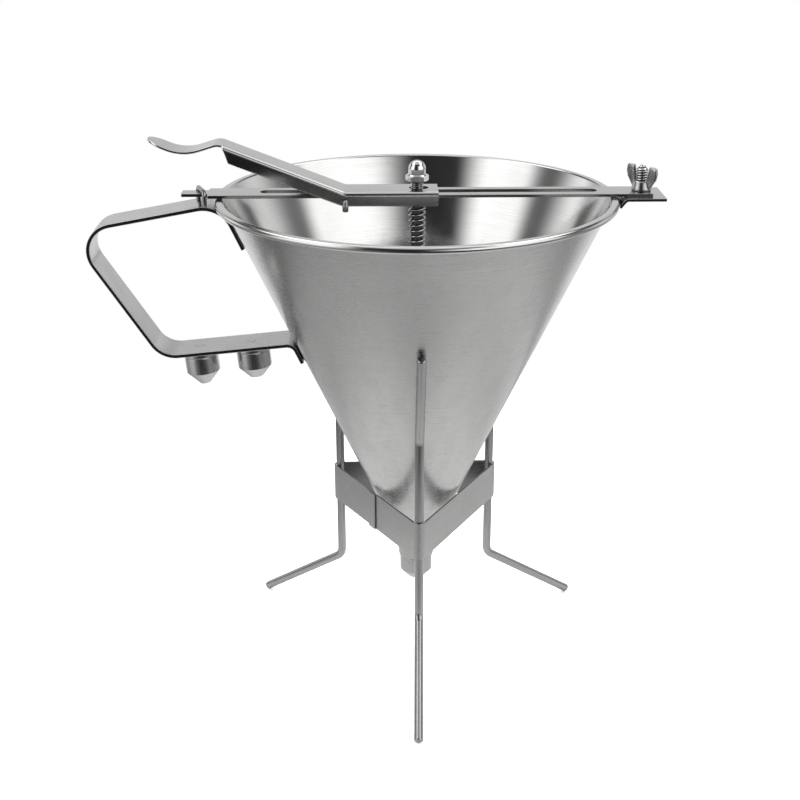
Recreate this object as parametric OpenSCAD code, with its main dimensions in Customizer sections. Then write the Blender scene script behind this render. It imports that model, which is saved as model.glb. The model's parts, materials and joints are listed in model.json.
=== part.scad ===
// Sauce dispenser: a piston funnel that hangs in a wire tripod stand.
// A thumb lever on the cross bar lifts a sprung rod, and the plug at the rod's
// lower end then opens the outlet. Two spare nozzles hang under the handle.
// Millimetres, +Z up. The origin is on the table, below the funnel's axis.
// The cross bar runs along X: the handle is at -X and the wing nut at +X.

/* [Funnel] */
// Diameter over the rolled rim
rim_d = 195; // [185:1:205]
// Half angle of the cone, in degrees
cone_half_angle = 24.6; // [23.8:0.1:25.4]
// Thickness of the funnel's sheet
sheet_t = 0.8; // [0.6:0.1:1.2]
// Diameter of the rolled rim's bead
rim_bead_d = 3.2; // [2.8:0.1:3.6]
// How far the bead's outside stands off the cone
rim_overhang = 4.1; // [3.8:0.1:4.6]
// Radius at which the sheet turns outwards into the bead
rim_lip_r = 2.6; // [2:0.1:3]

/* [Outlet] */
// Height of the nozzle's mouth above the table
mouth_z = 37.3; // [32:0.1:42]
// Outside diameter of the outlet collar
collar_d = 19.7; // [18.9:0.1:21]
// Height of the outlet collar
collar_h = 11.1; // [9.5:0.1:13]
// How much thinner the collar is at its lower edge, on the diameter
collar_taper = 1.4; // [0.6:0.1:1.8]
// Outside diameter of the threaded spigots
spigot_d = 13.5; // [12.5:0.1:14]
// Length of the threaded spigots
spigot_h = 7; // [5:0.1:8]
// Bore of the outlet
outlet_bore_d = 10; // [9:0.1:11]

/* [Nozzles] */
// Outside diameter of a nozzle
nozzle_d = 17; // [16.2:0.1:18]
// Length of a nozzle's straight part
nozzle_body_h = 9.1; // [8.8:0.1:11]
// Angle of a nozzle's tip to its axis, in degrees
nozzle_tip_angle = 41; // [36:1:45]
// Wall at a nozzle's mouth
nozzle_lip_t = 0.6; // [0.4:0.1:1]
// Bore of the fitted nozzle
fitted_bore_d = 8; // [5:0.5:9]
// Bore of the spare nozzle at the handle's heel
outer_bore_d = 4; // [3:0.5:9]
// Bore of the spare nozzle beside the cone
inner_bore_d = 6; // [3:0.5:9]
// Distance of the first spare nozzle from the handle's heel, along the strip
spare_start = 18.3; // [18:0.1:21]
// Distance between the two spare nozzles
spare_pitch = 26.2; // [22:0.1:28]
// Diameter of the base ring that carries a spare nozzle
stud_base_d = 17.6; // [16.5:0.1:19]
// Height of that base ring
stud_base_h = 2.4; // [1.5:0.1:3.5]
// Diameter of the rivet that holds the base ring to the strip
stud_rivet_d = 4; // [3:0.1:5]

/* [Handle] */
// Width of the handle strip
handle_w = 22; // [18:0.5:25]
// Thickness of the handle strip
handle_t = 1.8; // [1.5:0.1:2.2]
// Depth of the upper root's corner below the rim's top, before its bend is rounded
handle_top_drop = 1.4; // [1:0.1:3]
// Distance of the knee's corner beyond the rim
handle_knee_out = 70.8; // [64:0.1:76]
// Depth of the knee's corner below the rim's top
handle_knee_drop = 15.1; // [12:0.1:20]
// Distance of the heel's corner beyond the rim
handle_heel_out = 29.4; // [27:0.1:33]
// Depth of the heel's corner below the rim's top
handle_heel_drop = 80.2; // [75:0.1:85]
// Depth of the strip's lower root below the rim's top
handle_low_drop = 74.2; // [71:0.1:77]
// Length of the upper tab on the cone, measured downwards
handle_upper_tab = 22.5; // [20:0.5:26]
// Length of the lower tab on the cone, measured downwards
handle_lower_tab = 9; // [7:0.5:14]
// Outer radius of the knee
handle_knee_r = 14; // [10:0.5:16]
// Outer radius of the heel
handle_heel_r = 14; // [9:0.5:14.5]
// Radius of the bend at the upper root
handle_root_r = 20; // [14:0.5:22]

/* [Cross bar] */
// Width of the cross bar
bar_w = 16.2; // [14:0.1:18]
// Thickness of the cross bar
bar_t = 1.5; // [1.2:0.1:2]
// Width of the tongue that goes through the eye
tongue_w = 8.4; // [7:0.1:9]
// Distance of the tongue's tip beyond the eye
tongue_past_eye = 9.2; // [6:0.1:12]
// Distance of the bar's shoulder from the eye
shoulder_gap = 3.6; // [3.6:0.1:5]
// Width of the bar's long slot
slot_w = 6.5; // [6.3:0.1:7]
// Distance from the eye to the slot
slot_from_eye = 28.4; // [24:0.1:36]
// Distance from the slot to the clamp stud
slot_to_stud = 21.7; // [16:0.1:30]
// Distance from the clamp stud to the bar's end
bar_past_stud = 4.6; // [4.2:0.1:6]

/* [Eye and clamp] */
// Distance of the eye beyond the rim
eye_out = 6.5; // [6.2:0.1:8]
// Wire diameter of the eye
eye_wire_d = 2.2; // [1.8:0.1:2.6]
// Turn of the eye about the upright, in degrees
eye_turn = 20; // [-20:1:20]
// Width of the clamp bracket
bracket_w = 24.5; // [22:0.1:28]
// Thickness of the clamp bracket
bracket_t = 1.5; // [1.2:0.1:2]
// Distance of the bracket's end beyond the rim
bracket_out = 21.8; // [20:0.1:26]
// Distance of the clamp stud beyond the rim
stud_out = 11.5; // [10.5:0.1:13]
// Thread diameter of the clamp stud
stud_d = 5.8; // [5:0.1:6]
// Height of the clamp stud above the bar
stud_h = 10.9; // [10:0.1:15]
// Diameter of the wing nut's hub at its base
wing_hub_d = 9.6; // [9:0.1:12]
// Height of the wing nut's hub
wing_hub_h = 6.8; // [6:0.1:9]
// Width over the wings
wing_span = 18.5; // [17:0.5:26]
// Height of the wings above the bar
wing_h = 12; // [10:0.5:15]
// Thickness of the wings
wing_t = 2; // [1.5:0.1:2.5]
// Turn of the wings from the bar, in degrees
wing_turn = -50; // [-90:5:90]

/* [Thumb lever] */
// Width over the lever's flanges
lever_w = 19.2; // [18.8:0.1:21]
// Thickness of the lever's sheet
lever_t = 1.2; // [1:0.1:1.3]
// Depth of the flanges
lever_depth = 7; // [6.8:0.1:8]
// Outer radius of the folded edges
lever_fold_r = 2; // [1.6:0.1:2.4]
// Gap between the lever and the bar under it
lever_gap = 0.5; // [0.4:0.1:0.8]
// Distance of the hinge pin from the funnel's axis
pivot_offset = 34.5; // [32:0.5:40]
// Distance of the lever's nose beyond the funnel's axis
lever_nose = 10; // [9:0.5:14]
// Rise of the lever's arm, in degrees
arm_rise = 21.2; // [19:0.1:24]
// Length of the folded part of the arm
arm_length = 60.5; // [54:0.5:66]
// Distance from the folded part to the crown of the thumb rest
thumb_crown = 3.4; // [2.5:0.1:5]
// Length of the thumb rest from its crown to its dip
thumb_dip = 17.8; // [14:0.1:20]
// Length of the thumb rest from its dip to its tip
thumb_tip = 17.9; // [14:0.1:20]
// Fall of the thumb rest to its dip, in degrees
thumb_fall = 17.3; // [14:0.1:20]
// Rise of the thumb rest to its tip, in degrees
thumb_rise = 23; // [14:1:26]
// Width of the thumb rest
thumb_w = 16.4; // [15:0.1:18.6]
// Diameter of the hinge pin
pin_d = 2.9; // [2.5:0.1:3.1]

/* [Piston] */
// Diameter of the piston rod
rod_d = 6; // [5:0.1:6]
// Free thread between the lever and the cap nut
nut_gap = 3.5; // [3.2:0.1:5]
// Width of the cap nut across its flats
nut_flats = 10; // [9:0.5:11]
// Height of the cap nut's hexagon
nut_hex_h = 4; // [3.6:0.1:5]
// Height of the cap nut's dome, with the straight part below it
nut_dome_h = 5.9; // [5.5:0.1:7]
// Wire diameter of the return spring
spring_wire = 1; // [0.8:0.1:1.1]
// Outside diameter of the return spring
spring_d = 8.7; // [8.5:0.1:9.5]
// Length of the return spring at rest
spring_length = 60; // [50:1:70]
// Number of curls of the return spring
spring_curls = 24; // [18:1:26]
// Thickness of the washer under the spring
washer_t = 1; // [0.8:0.1:1.5]
// Diameter of the washer
washer_d = 10; // [9.6:0.1:12]
// Diameter of the cross pin
cross_pin_d = 2; // [1.6:0.1:2.5]
// Length of the cross pin
cross_pin_l = 9.4; // [8.5:0.1:11]
// Largest diameter of the valve plug
plug_d = 15; // [13.5:0.1:15.4]

/* [Stand] */
// Wire diameter of the legs
leg_wire_d = 4.5; // [4:0.1:5]
// Radius of the circle of the upright legs
leg_circle_r = 46.3; // [45:0.1:50]
// Radius of the circle of the feet
foot_circle_r = 100.3; // [92:0.1:110]
// Height of the corner where a leg turns outwards
elbow_z = 38.4; // [34:0.1:44]
// Bend radius of the leg's wire, at its middle
leg_bend_r = 7; // [6:0.1:10]
// Height of the legs' upper ends
arm_top_z = 186.7; // [170:0.1:200]
// Height of the band's lower edge
band_z = 73.2; // [68:0.1:78]
// Height of the band
band_h = 19.6; // [16:0.1:22]
// Thickness of the band
band_t = 1; // [0.8:0.1:1.4]
// Overlap of the band's two ends
band_lap = 6; // [4:0.5:10]
// Turns of the front, right and left foot about their uprights, in degrees
foot_turns = [-2, -5.5, -4.5]; // [-8:0.5:8]

/* [Hidden] */
$fn = 48;

// Clearances: a fit that turns, a welded or screwed seat, two bodies at rest.
fit_gap = 0.05;
weld_gap = 0.05;
seat_gap = 0.1;
body_gap = 0.3;

// Colours as they look: brushed sheet, plain wire, polished and spring steel.
sheet_colour = [0.66, 0.66, 0.65];
strip_colour = [0.70, 0.70, 0.69];
wire_colour = [0.62, 0.62, 0.61];
turned_colour = [0.74, 0.74, 0.73];
polished_colour = [0.84, 0.84, 0.84];

// Heights from the table up through the outlet to the rim.
function tip_h(bore_d) = (nozzle_d - bore_d - 2 * nozzle_lip_t) / 2 / tan(nozzle_tip_angle);
nozzle_top_z = mouth_z + tip_h(fitted_bore_d) + nozzle_body_h;
collar_z = nozzle_top_z + seat_gap;
collar_top_z = collar_z + collar_h;
apex_z = collar_top_z - collar_d / 2 / tan(cone_half_angle);
rim_r = rim_d / 2;
bead_r = rim_bead_d / 2;
bead_z = apex_z + (rim_r - rim_overhang) / tan(cone_half_angle);
rim_top_z = bead_z + bead_r;

// Radius of the cone's outside and inside at a height.
function cone_r(z) = (z - apex_z) * tan(cone_half_angle);
function cone_in_r(z) = cone_r(z) - sheet_t / cos(cone_half_angle);

// Bar, lever and piston heights.
bar_z = rim_top_z + seat_gap;
bar_top_z = bar_z + bar_t;
web_z = bar_top_z + lever_gap + lever_t;
pin_z = bar_z - pin_d / 2 - fit_gap;
nut_z = web_z + nut_gap;
rod_top_z = nut_z + nut_hex_h + nut_dome_h / 2;
washer_z = bar_z - spring_length - washer_t;
cross_pin_z = washer_z - cross_pin_d / 2;

// Stations along the bar.
eye_x = -rim_r - eye_out;
stud_x = rim_r + stud_out;

// Points of an arc.
function arc(c, r, a0, a1, n = 8) =
    [for (i = [0:n]) c + r * [cos(a0 + (a1 - a0) * i / n), sin(a0 + (a1 - a0) * i / n)]];

function unit(v) = v / norm(v);
function left_of(v) = [-v.y, v.x];
function flat(lists) = [for (l = lists) for (p = l) p];

// One rounded corner at q, on the way from p to s. The arc bows away from its centre.
function round_corner(p, q, s, r, n = 8) =
    let (
        a = unit(q - p),
        b = unit(s - q),
        turn = atan2(a.x * b.y - a.y * b.x, a * b),
        side = turn > 0 ? 1 : -1,
        reach = r * tan(abs(turn) / 2),
        c = q - reach * a + side * r * left_of(a),
        a0 = atan2(-side * left_of(a).y, -side * left_of(a).x)
    )
    arc(c, r, a0, a0 + turn, n);

// An open path with rounded corners: ends[0], then each corner with its radius, then ends[1].
function round_path(corners, radii) =
    let (last = len(corners) - 1)
    concat(
        [corners[0]],
        flat([for (i = [1:last - 1])
            round_corner(corners[i - 1], corners[i], corners[i + 1], radii[i - 1])]),
        [corners[last]]
    );

// A closed outline with every corner rounded.
function round_loop(corners, r) =
    let (n = len(corners))
    flat([for (i = [0:n - 1])
        round_corner(corners[(i + n - 1) % n], corners[i], corners[(i + 1) % n], r)]);

// The outline of a strip of thickness t, which lies on the left of a path.
function strip_outline(path, t) =
    let (
        last = len(path) - 1,
        inner = [for (i = [0:last])
            let (
                a = i == 0 ? unit(path[1] - path[0]) : unit(path[i] - path[i - 1]),
                b = i == last ? a : unit(path[i + 1] - path[i]),
                m = unit(a + b)
            )
            path[i] + left_of(m) * t / (m * a)]
    )
    concat(path, [for (i = [last:-1:0]) inner[i]]);

// Stands a flat outline, drawn in X and Z, up and makes it wide along Y.
module across(width) {
    rotate([90, 0, 0])
        translate([0, 0, -width / 2])
            linear_extrude(width) children();
}

// A wire that starts along +X and bends in the XY plane, one run and one bend after another.
module wire_chain(lengths, turns, d, bend_r, i = 0) {
    rotate([0, 90, 0]) cylinder(h = lengths[i], d = d);
    if (i < len(turns)) {
        t = turns[i];
        side = t > 0 ? 1 : -1;
        translate([lengths[i], 0, 0]) {
            translate([0, side * bend_r, 0])
                rotate([0, 0, t > 0 ? -90 : 90 + t])
                    rotate_extrude(angle = abs(t))
                        translate([bend_r, 0])
                            circle(d = d);
            translate([bend_r * sin(abs(t)), side * bend_r * (1 - cos(t)), 0])
                rotate([0, 0, t])
                    wire_chain(lengths, turns, d, bend_r, i + 1);
        }
    }
}

// A wire along a path of straight runs, with every corner bent to one radius.
module bent_wire(corners, d, bend_r) {
    last = len(corners) - 1;
    way = [for (i = [0:last - 1]) unit(corners[i + 1] - corners[i])];
    turns = [for (i = [1:last - 1])
        atan2(way[i - 1].x * way[i].y - way[i - 1].y * way[i].x, way[i - 1] * way[i])];
    reach = concat([0], [for (t = turns) bend_r * tan(abs(t) / 2)], [0]);
    lengths = [for (i = [0:last - 1]) norm(corners[i + 1] - corners[i]) - reach[i] - reach[i + 1]];
    translate([corners[0].x, corners[0].y, 0])
        rotate([0, 0, atan2(way[0].y, way[0].x)])
            wire_chain(lengths, turns, d, bend_r);
}

// The ring of points round one point of a path, mitred between its two runs.
// The first point of the ring lies towards the hint.
function tube_ring(path, hint, i, d, sides) =
    let (
        last = len(path) - 1,
        come = unit(i == 0 ? path[1] - path[0] : path[i] - path[i - 1]),
        go = i == last ? come : unit(path[i + 1] - path[i]),
        t = unit(come + go),
        u = unit(hint - (hint * t) * t),
        v = cross(t, u),
        stretch = 1 / (t * come)
    )
    [for (k = [0:sides - 1])
        let (a = 360 * k / sides)
        path[i] + d / 2 * (cos(a) * u + sin(a) * stretch * v)];

// Triangles of a tube of several rings, with a fan at each end.
function tube_faces(rings, n) =
    let (end = (rings - 1) * n)
    concat(
        [for (i = [0:rings - 2]) for (k = [0:n - 1])
            [i * n + k, i * n + (k + 1) % n, (i + 1) * n + k]],
        [for (i = [0:rings - 2]) for (k = [0:n - 1])
            [i * n + (k + 1) % n, (i + 1) * n + (k + 1) % n, (i + 1) * n + k]],
        [for (k = [1:n - 2]) [0, k + 1, k]],
        [for (k = [1:n - 2]) [end, end + k, end + k + 1]]
    );

// One unbroken tube along a path in space, with a hint for each of its points.
module tube(path, hints, d, sides) {
    polyhedron(
        points = flat([for (i = [0:len(path) - 1]) tube_ring(path, hints[i], i, d, sides)]),
        faces = tube_faces(len(path), sides)
    );
}

// Stand

leg_angles = [-90, 30, 150];
leg_r = leg_wire_d / 2;
// The arm's middle stands off the cone by the wire's radius and the resting gap.
arm_off = (leg_r + body_gap) / cos(cone_half_angle);
arm_corner_z = apex_z + (leg_circle_r - arm_off) / tan(cone_half_angle);
// The foot's middle ends a little low, so that the table cuts a flat on it.
foot_share = 0.66;
foot_tip_z = foot_share * leg_r;
leg_sides = 16;

// The foot is turned a little about the upright, so a leg doesn't lie quite in one plane.
module stand_leg(i) {
    line = round_path(
        [
            [foot_circle_r, foot_tip_z],
            [leg_circle_r, elbow_z],
            [leg_circle_r, arm_corner_z],
            [cone_r(arm_top_z) + arm_off, arm_top_z]
        ],
        [leg_bend_r, leg_bend_r]
    );
    turns = [for (p = line) p.y < band_z ? foot_turns[i] : 0];
    path = [for (k = [0:len(line) - 1])
        let (out = line[k].x - leg_circle_r)
        [leg_circle_r + out * cos(turns[k]), out * sin(turns[k]), line[k].y]];
    color(wire_colour)
        rotate([0, 0, leg_angles[i]])
            difference() {
                tube(path, [for (t = turns) [-sin(t), cos(t), 0]], leg_wire_d, leg_sides);
                translate([0, -foot_circle_r, -2 * leg_wire_d])
                    cube([2 * foot_circle_r, 2 * foot_circle_r, 2 * leg_wire_d]);
            }
}

module stand_leg_front() { stand_leg(0); }
module stand_leg_right() { stand_leg(1); }
module stand_leg_left() { stand_leg(2); }

// A triangle wrapped round the three legs, at a distance from their middles.
function wrap_outline(off) =
    flat([for (a = leg_angles) arc(leg_circle_r * [cos(a), sin(a)], off, a - 60, a + 60)]);

module stand_band() {
    inside = leg_r + weld_gap;
    lap_side = leg_angles[0] - 60;
    color(strip_colour) {
        translate([0, 0, band_z])
            linear_extrude(band_h)
                difference() {
                    polygon(wrap_outline(inside + band_t));
                    polygon(wrap_outline(inside));
                }
        rotate([0, 0, lap_side])
            translate([leg_circle_r * cos(60) + inside + band_t, -band_lap / 2, band_z])
                cube([band_t, band_lap, band_h]);
    }
}

// Funnel

module funnel_cone() {
    lip_z = rim_top_z - rim_lip_r;
    lip_centre = [cone_in_r(lip_z) + rim_lip_r / cos(cone_half_angle), lip_z];
    under_z = bead_z - bead_r - sheet_t / 2;
    color(sheet_colour)
        rotate_extrude($fn = 96)
            polygon(concat(
                [[cone_in_r(collar_top_z), collar_top_z], [collar_d / 2, collar_top_z]],
                [[cone_r(under_z), under_z]],
                arc([rim_r - bead_r, bead_z], bead_r, -90, 90, 10),
                arc(lip_centre, rim_lip_r, 90, 180 - cone_half_angle, 6)
            ));
}

// The seat falls at 45 degrees from the cone's inside to the bore.
seat_z = collar_top_z - (cone_in_r(collar_top_z) - outlet_bore_d / 2);
spigot_chamfer = 0.6;

module outlet_collar() {
    bore_r = outlet_bore_d / 2;
    spigot_r = spigot_d / 2;
    low_z = collar_z - spigot_h;
    color(turned_colour)
        rotate_extrude()
            polygon([
                [cone_in_r(collar_top_z), collar_top_z],
                [collar_d / 2, collar_top_z],
                [collar_d / 2, collar_top_z - collar_h / 2],
                [(collar_d - collar_taper) / 2, collar_z],
                [spigot_r, collar_z],
                [spigot_r, low_z + spigot_chamfer],
                [spigot_r - spigot_chamfer, low_z],
                [bore_r, low_z],
                [bore_r, seat_z]
            ]);
}

// Handle: a strip whose roots lie on the cone

// A point beyond the rim on the handle's side, at a depth below the rim's top.
function beyond_rim(out, drop) = [-rim_r - out, rim_top_z - drop];
// A point off the cone on the handle's side: the strip stands off it squarely.
function off_cone(z, off) = [-cone_r(z) - off / cos(cone_half_angle), z];

handle_low_bend = 2;
handle_low_r = handle_t + handle_low_bend;
handle_corners = [
    off_cone(rim_top_z - handle_top_drop - handle_upper_tab, weld_gap),
    off_cone(rim_top_z - handle_top_drop, weld_gap),
    beyond_rim(handle_knee_out, handle_knee_drop),
    beyond_rim(handle_heel_out, handle_heel_drop),
    off_cone(rim_top_z - handle_low_drop, weld_gap + handle_t),
    off_cone(rim_top_z - handle_low_drop - handle_lower_tab, weld_gap + handle_t)
];
handle_path = round_path(
    handle_corners,
    [handle_root_r, handle_knee_r, handle_heel_r, handle_low_r]
);

// Height of the upper run's top face at a place along X, also on the bend at its root.
upper_path = [for (p = handle_path) if (p.y > rim_top_z - handle_knee_drop) p];
function handle_top(x) = lookup(x, upper_path);

// The lower run, on which the spare nozzles hang.
low_run = unit(handle_corners[4] - handle_corners[3]);
low_slope = atan2(low_run.y, low_run.x);
function spare_at(i) = handle_corners[3] + low_run * (spare_start + i * spare_pitch);

// Puts what hangs from the strip in its place: the strip's underside is local zero.
module at_spare(i) {
    p = spare_at(i);
    translate([p.x, 0, p.y])
        rotate([0, -low_slope, 0])
            children();
}

module handle_strip() {
    color(strip_colour)
        difference() {
            across(handle_w) polygon(strip_outline(handle_path, handle_t));
            for (i = [0, 1])
                at_spare(i)
                    cylinder(h = 4 * handle_t, d = stud_rivet_d + 2 * weld_gap, center = true);
        }
}

// The eye is turned on the strip, and both its feet are cut to the strip's height at the higher one.
module handle_eye() {
    side_play = 0.8;
    wire_r = eye_wire_d / 2;
    half = tongue_w / 2 + side_play + wire_r;
    top = bar_top_z + body_gap + wire_r;
    reach = half * sin(abs(eye_turn)) + wire_r;
    foot = max([for (k = [-1:0.25:1]) handle_top(eye_x + k * reach)]) + seat_gap;
    bend = eye_wire_d;
    color(wire_colour)
        translate([eye_x, 0, 0])
            rotate([0, 0, eye_turn])
                rotate([90, 0, 90])
                    bent_wire([[-half, foot], [-half, top], [half, top], [half, foot]],
                              eye_wire_d, bend);
}

module nozzle_stud(i) {
    spigot_r = spigot_d / 2;
    base_r = stud_base_d / 2;
    rivet_r = stud_rivet_d / 2;
    foot = -stud_base_h - spigot_h;
    color(turned_colour)
        at_spare(i)
            rotate_extrude()
                polygon([
                    [0, handle_t],
                    [0, foot],
                    [spigot_r - spigot_chamfer, foot],
                    [spigot_r, foot + spigot_chamfer],
                    [spigot_r, -stud_base_h],
                    [base_r, -stud_base_h],
                    [base_r, 0],
                    [rivet_r, 0],
                    [rivet_r, handle_t]
                ]);
}

module nozzle_stud_outer() { nozzle_stud(0); }
module nozzle_stud_inner() { nozzle_stud(1); }

// Nozzles: the face that meets the collar or the base ring is at local zero.

module nozzle(bore_d) {
    bore_r = bore_d / 2;
    socket_r = spigot_d / 2 + fit_gap;
    socket_h = spigot_h + body_gap;
    edge = 0.4;
    tip_z = -nozzle_body_h - tip_h(bore_d);
    color(turned_colour)
        rotate_extrude()
            polygon([
                [socket_r, 0],
                [nozzle_d / 2 - edge, 0],
                [nozzle_d / 2, -edge],
                [nozzle_d / 2, -nozzle_body_h],
                [bore_r + nozzle_lip_t, tip_z],
                [bore_r, tip_z],
                [bore_r, -socket_h],
                [socket_r, -socket_h]
            ]);
}

module nozzle_fitted() { translate([0, 0, nozzle_top_z]) nozzle(fitted_bore_d); }
module nozzle_spare(i, bore_d) {
    at_spare(i) translate([0, 0, -stud_base_h - seat_gap]) nozzle(bore_d);
}
module nozzle_spare_outer() { nozzle_spare(0, outer_bore_d); }
module nozzle_spare_inner() { nozzle_spare(1, inner_bore_d); }

// Cross bar and its clamp

module crossbar() {
    shoulder_x = eye_x + shoulder_gap;
    tongue_x = eye_x - tongue_past_eye;
    slot_x0 = eye_x + slot_from_eye + slot_w / 2;
    slot_x1 = stud_x - slot_to_stud - slot_w / 2;
    end_x = stud_x + bar_past_stud;
    color(strip_colour)
        translate([0, 0, bar_z])
            linear_extrude(bar_t)
                difference() {
                    union() {
                        translate([shoulder_x, -bar_w / 2]) square([end_x - shoulder_x, bar_w]);
                        translate([tongue_x, -tongue_w / 2]) square([end_x - tongue_x, tongue_w]);
                    }
                    for (x = [slot_x0, slot_x1]) translate([x, 0]) circle(d = slot_w);
                    translate([slot_x0, -slot_w / 2]) square([slot_x1 - slot_x0, slot_w]);
                    translate([stud_x, 0]) circle(d = stud_d + 2 * body_gap);
                }
}

// The bracket's inner edge is folded down and tucked under the bead.
module clamp_bracket() {
    fold_out = 2.9;
    lip_drop = 3.4;
    lip_in = 2.7;
    fold_x = rim_r + fold_out;
    path = round_path(
        [
            [fold_x - lip_in, bar_z - bracket_t - lip_drop],
            [fold_x, bar_z - bracket_t],
            [rim_r + bracket_out, bar_z - bracket_t]
        ],
        [bracket_t]
    );
    color(strip_colour)
        difference() {
            across(bracket_w) polygon(strip_outline(path, bracket_t));
            translate([stud_x, 0, bar_z - 2 * bracket_t])
                cylinder(h = 3 * bracket_t, d = stud_d + 2 * weld_gap);
        }
}

module clamp_stud() {
    edge = 0.7;
    foot = bar_z - bracket_t;
    top = bar_top_z + stud_h;
    color(turned_colour)
        translate([stud_x, 0, 0])
            rotate_extrude()
                polygon([
                    [0, foot],
                    [stud_d / 2, foot],
                    [stud_d / 2, top - edge],
                    [stud_d / 2 - edge, top],
                    [0, top]
                ]);
}

module wing_nut() {
    bore_r = stud_d / 2 + fit_gap;
    hub_r = wing_hub_d / 2;
    hub_foot = 1;
    hub_edge = 0.6;
    crown_r = hub_r - 0.9;
    // A wing leans outwards from the hub and widens to a rounded ear.
    ear_r = 0.9;
    ear_lean = 1;
    ear_slant = 1.5;
    root = bore_r + 0.3;
    root_z = 1.5;
    waist_z = wing_h / 2;
    reach = wing_span / 2;
    ear = round_loop([
        [root, root_z],
        [hub_r, root_z],
        [reach, waist_z],
        [reach - ear_slant, wing_h],
        [root + ear_lean, wing_h],
        [root, waist_z]
    ], ear_r);
    color(turned_colour)
        translate([stud_x, 0, bar_top_z + seat_gap])
            rotate([0, 0, wing_turn]) {
                rotate_extrude()
                    polygon([
                        [bore_r, 0],
                        [hub_r, 0],
                        [hub_r, hub_foot],
                        [crown_r, wing_hub_h - hub_edge],
                        [crown_r - hub_edge, wing_hub_h],
                        [bore_r, wing_hub_h]
                    ]);
                for (side = [0, 180])
                    rotate([0, 0, side]) across(wing_t) polygon(ear);
            }
}

// Hinge: a saddle under the bar holds the pin

module hinge_saddle() {
    wall = 1;
    inner_r = pin_d / 2 + fit_gap;
    length = 9;
    color(strip_colour)
        translate([-pivot_offset, 0, pin_z])
            across(length)
                difference() {
                    union() {
                        circle(r = inner_r + wall);
                        translate([-inner_r - wall, 0]) square([2 * (inner_r + wall), bar_z - pin_z]);
                    }
                    circle(r = inner_r);
                    translate([-inner_r, 0]) square([2 * inner_r, bar_z - pin_z]);
                    translate([-inner_r - wall, bar_z - pin_z])
                        square([2 * (inner_r + wall), 2 * inner_r]);
                }
}

// The pin's near end is bent down outside the lever's flange.
module hinge_pin() {
    bend = 0.7 * pin_d;
    tail = 4.2;
    tail_y = lever_w / 2 + body_gap + bend;
    far_end = 1.2;
    far_y = lever_w / 2 + far_end;
    color(wire_colour)
        translate([-pivot_offset, 0, pin_z])
            rotate([90, 0, 90])
                bent_wire([[far_y, 0], [-tail_y, 0], [-tail_y, -tail]], pin_d, bend);
}

// Thumb lever: a sheet channel with one bend, and a thumb rest beyond its flanges

pivot_x = -pivot_offset;
lever_bend = [pivot_x, web_z];
arm_way = [-cos(arm_rise), sin(arm_rise)];

// A point of the lever's side view, on the way from the bend to the arm's end.
function along(p, length, angle) = p + length * [-cos(angle), sin(angle)];

// A bar along +X with its top at zero, and with the two upper edges rounded.
module rounded_bar(length, width, depth, r) {
    half = width / 2;
    side = concat([[half, -depth]], arc([half - r, -r], r, 0, 90, 5));
    mirrored = [for (i = [len(side) - 1:-1:0]) [-side[i].x, side[i].y]];
    rotate([90, 0, 90])
        linear_extrude(length)
            polygon(concat(side, mirrored));
}

// Both runs of the lever as bars that cross at the bend: the higher one is the sheet's face.
// The drop takes them down from the lever's top.
module crossed_bars(width, drop, r) {
    long = arm_length + lever_nose + pivot_offset;
    translate([pivot_x - long, 0, web_z - drop])
        rounded_bar(2 * long, width, lever_depth + long, r);
    translate([pivot_x, 0, web_z])
        rotate([0, arm_rise, 0])
            translate([-long, 0, -drop])
                rounded_bar(2 * long, width, lever_depth + long, r);
}

// The flanges' outline from the side. It stays open above, where the sheet's face ends them.
module flange_side() {
    nose_r = 1.6;
    cut_lean = 40;
    headroom = 2 * lever_depth;
    low_z = web_z - lever_depth;
    arm_end = along(lever_bend, arm_length, arm_rise);
    // The slanted cut starts below the folded edge and leaves the sheet whole.
    across_arm = [-arm_way.y, arm_way.x];
    fold_end = arm_end + lever_fold_r * across_arm;
    cut_depth = lever_depth - lever_fold_r;
    cut_end = fold_end + cut_depth * across_arm - cut_depth * tan(cut_lean) * arm_way;
    low_bend = [pivot_x - lever_depth * tan(arm_rise / 2), low_z];
    polygon(concat(
        [arm_end - headroom * across_arm, fold_end, cut_end, low_bend],
        round_corner(low_bend, [lever_nose, low_z], [lever_nose, web_z], nose_r),
        [[lever_nose, arm_end.y + headroom]]
    ));
}

// An elongated hole lets the rod stay upright while the lever tilts.
module rod_slot() {
    side_play = 0.5;
    width = rod_d + 2 * side_play;
    back_x = -0.4;
    front_x = 2;
    translate([0, 0, web_z - 2 * lever_t]) {
        for (x = [back_x, front_x]) translate([x, 0, 0]) cylinder(h = 3 * lever_t, d = width);
        translate([back_x, -width / 2, 0]) cube([front_x - back_x, width, 3 * lever_t]);
    }
}

// The rest starts inside the arm's sheet, a hair within both its faces.
module thumb_rest() {
    inset = 0.02;
    root = 2 * lever_t;
    crown_r = 8;
    dip_r = 22;
    start = along(lever_bend, arm_length - root, arm_rise);
    crown = along(start, thumb_crown + root, arm_rise);
    dip = along(crown, thumb_dip, -thumb_fall);
    tip = along(dip, thumb_tip, thumb_rise);
    path = round_path([start, crown, dip, tip], [crown_r, dip_r]);
    intersection() {
        across(thumb_w)
            translate([0, -inset]) polygon(strip_outline(path, lever_t - 2 * inset));
        translate([tip.x, 0, 0])
            linear_extrude(2 * rim_top_z)
                union() {
                    translate([thumb_w / 2, 0]) circle(d = thumb_w);
                    translate([thumb_w / 2, -thumb_w / 2]) square([2 * arm_length, thumb_w]);
                }
    }
}

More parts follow.
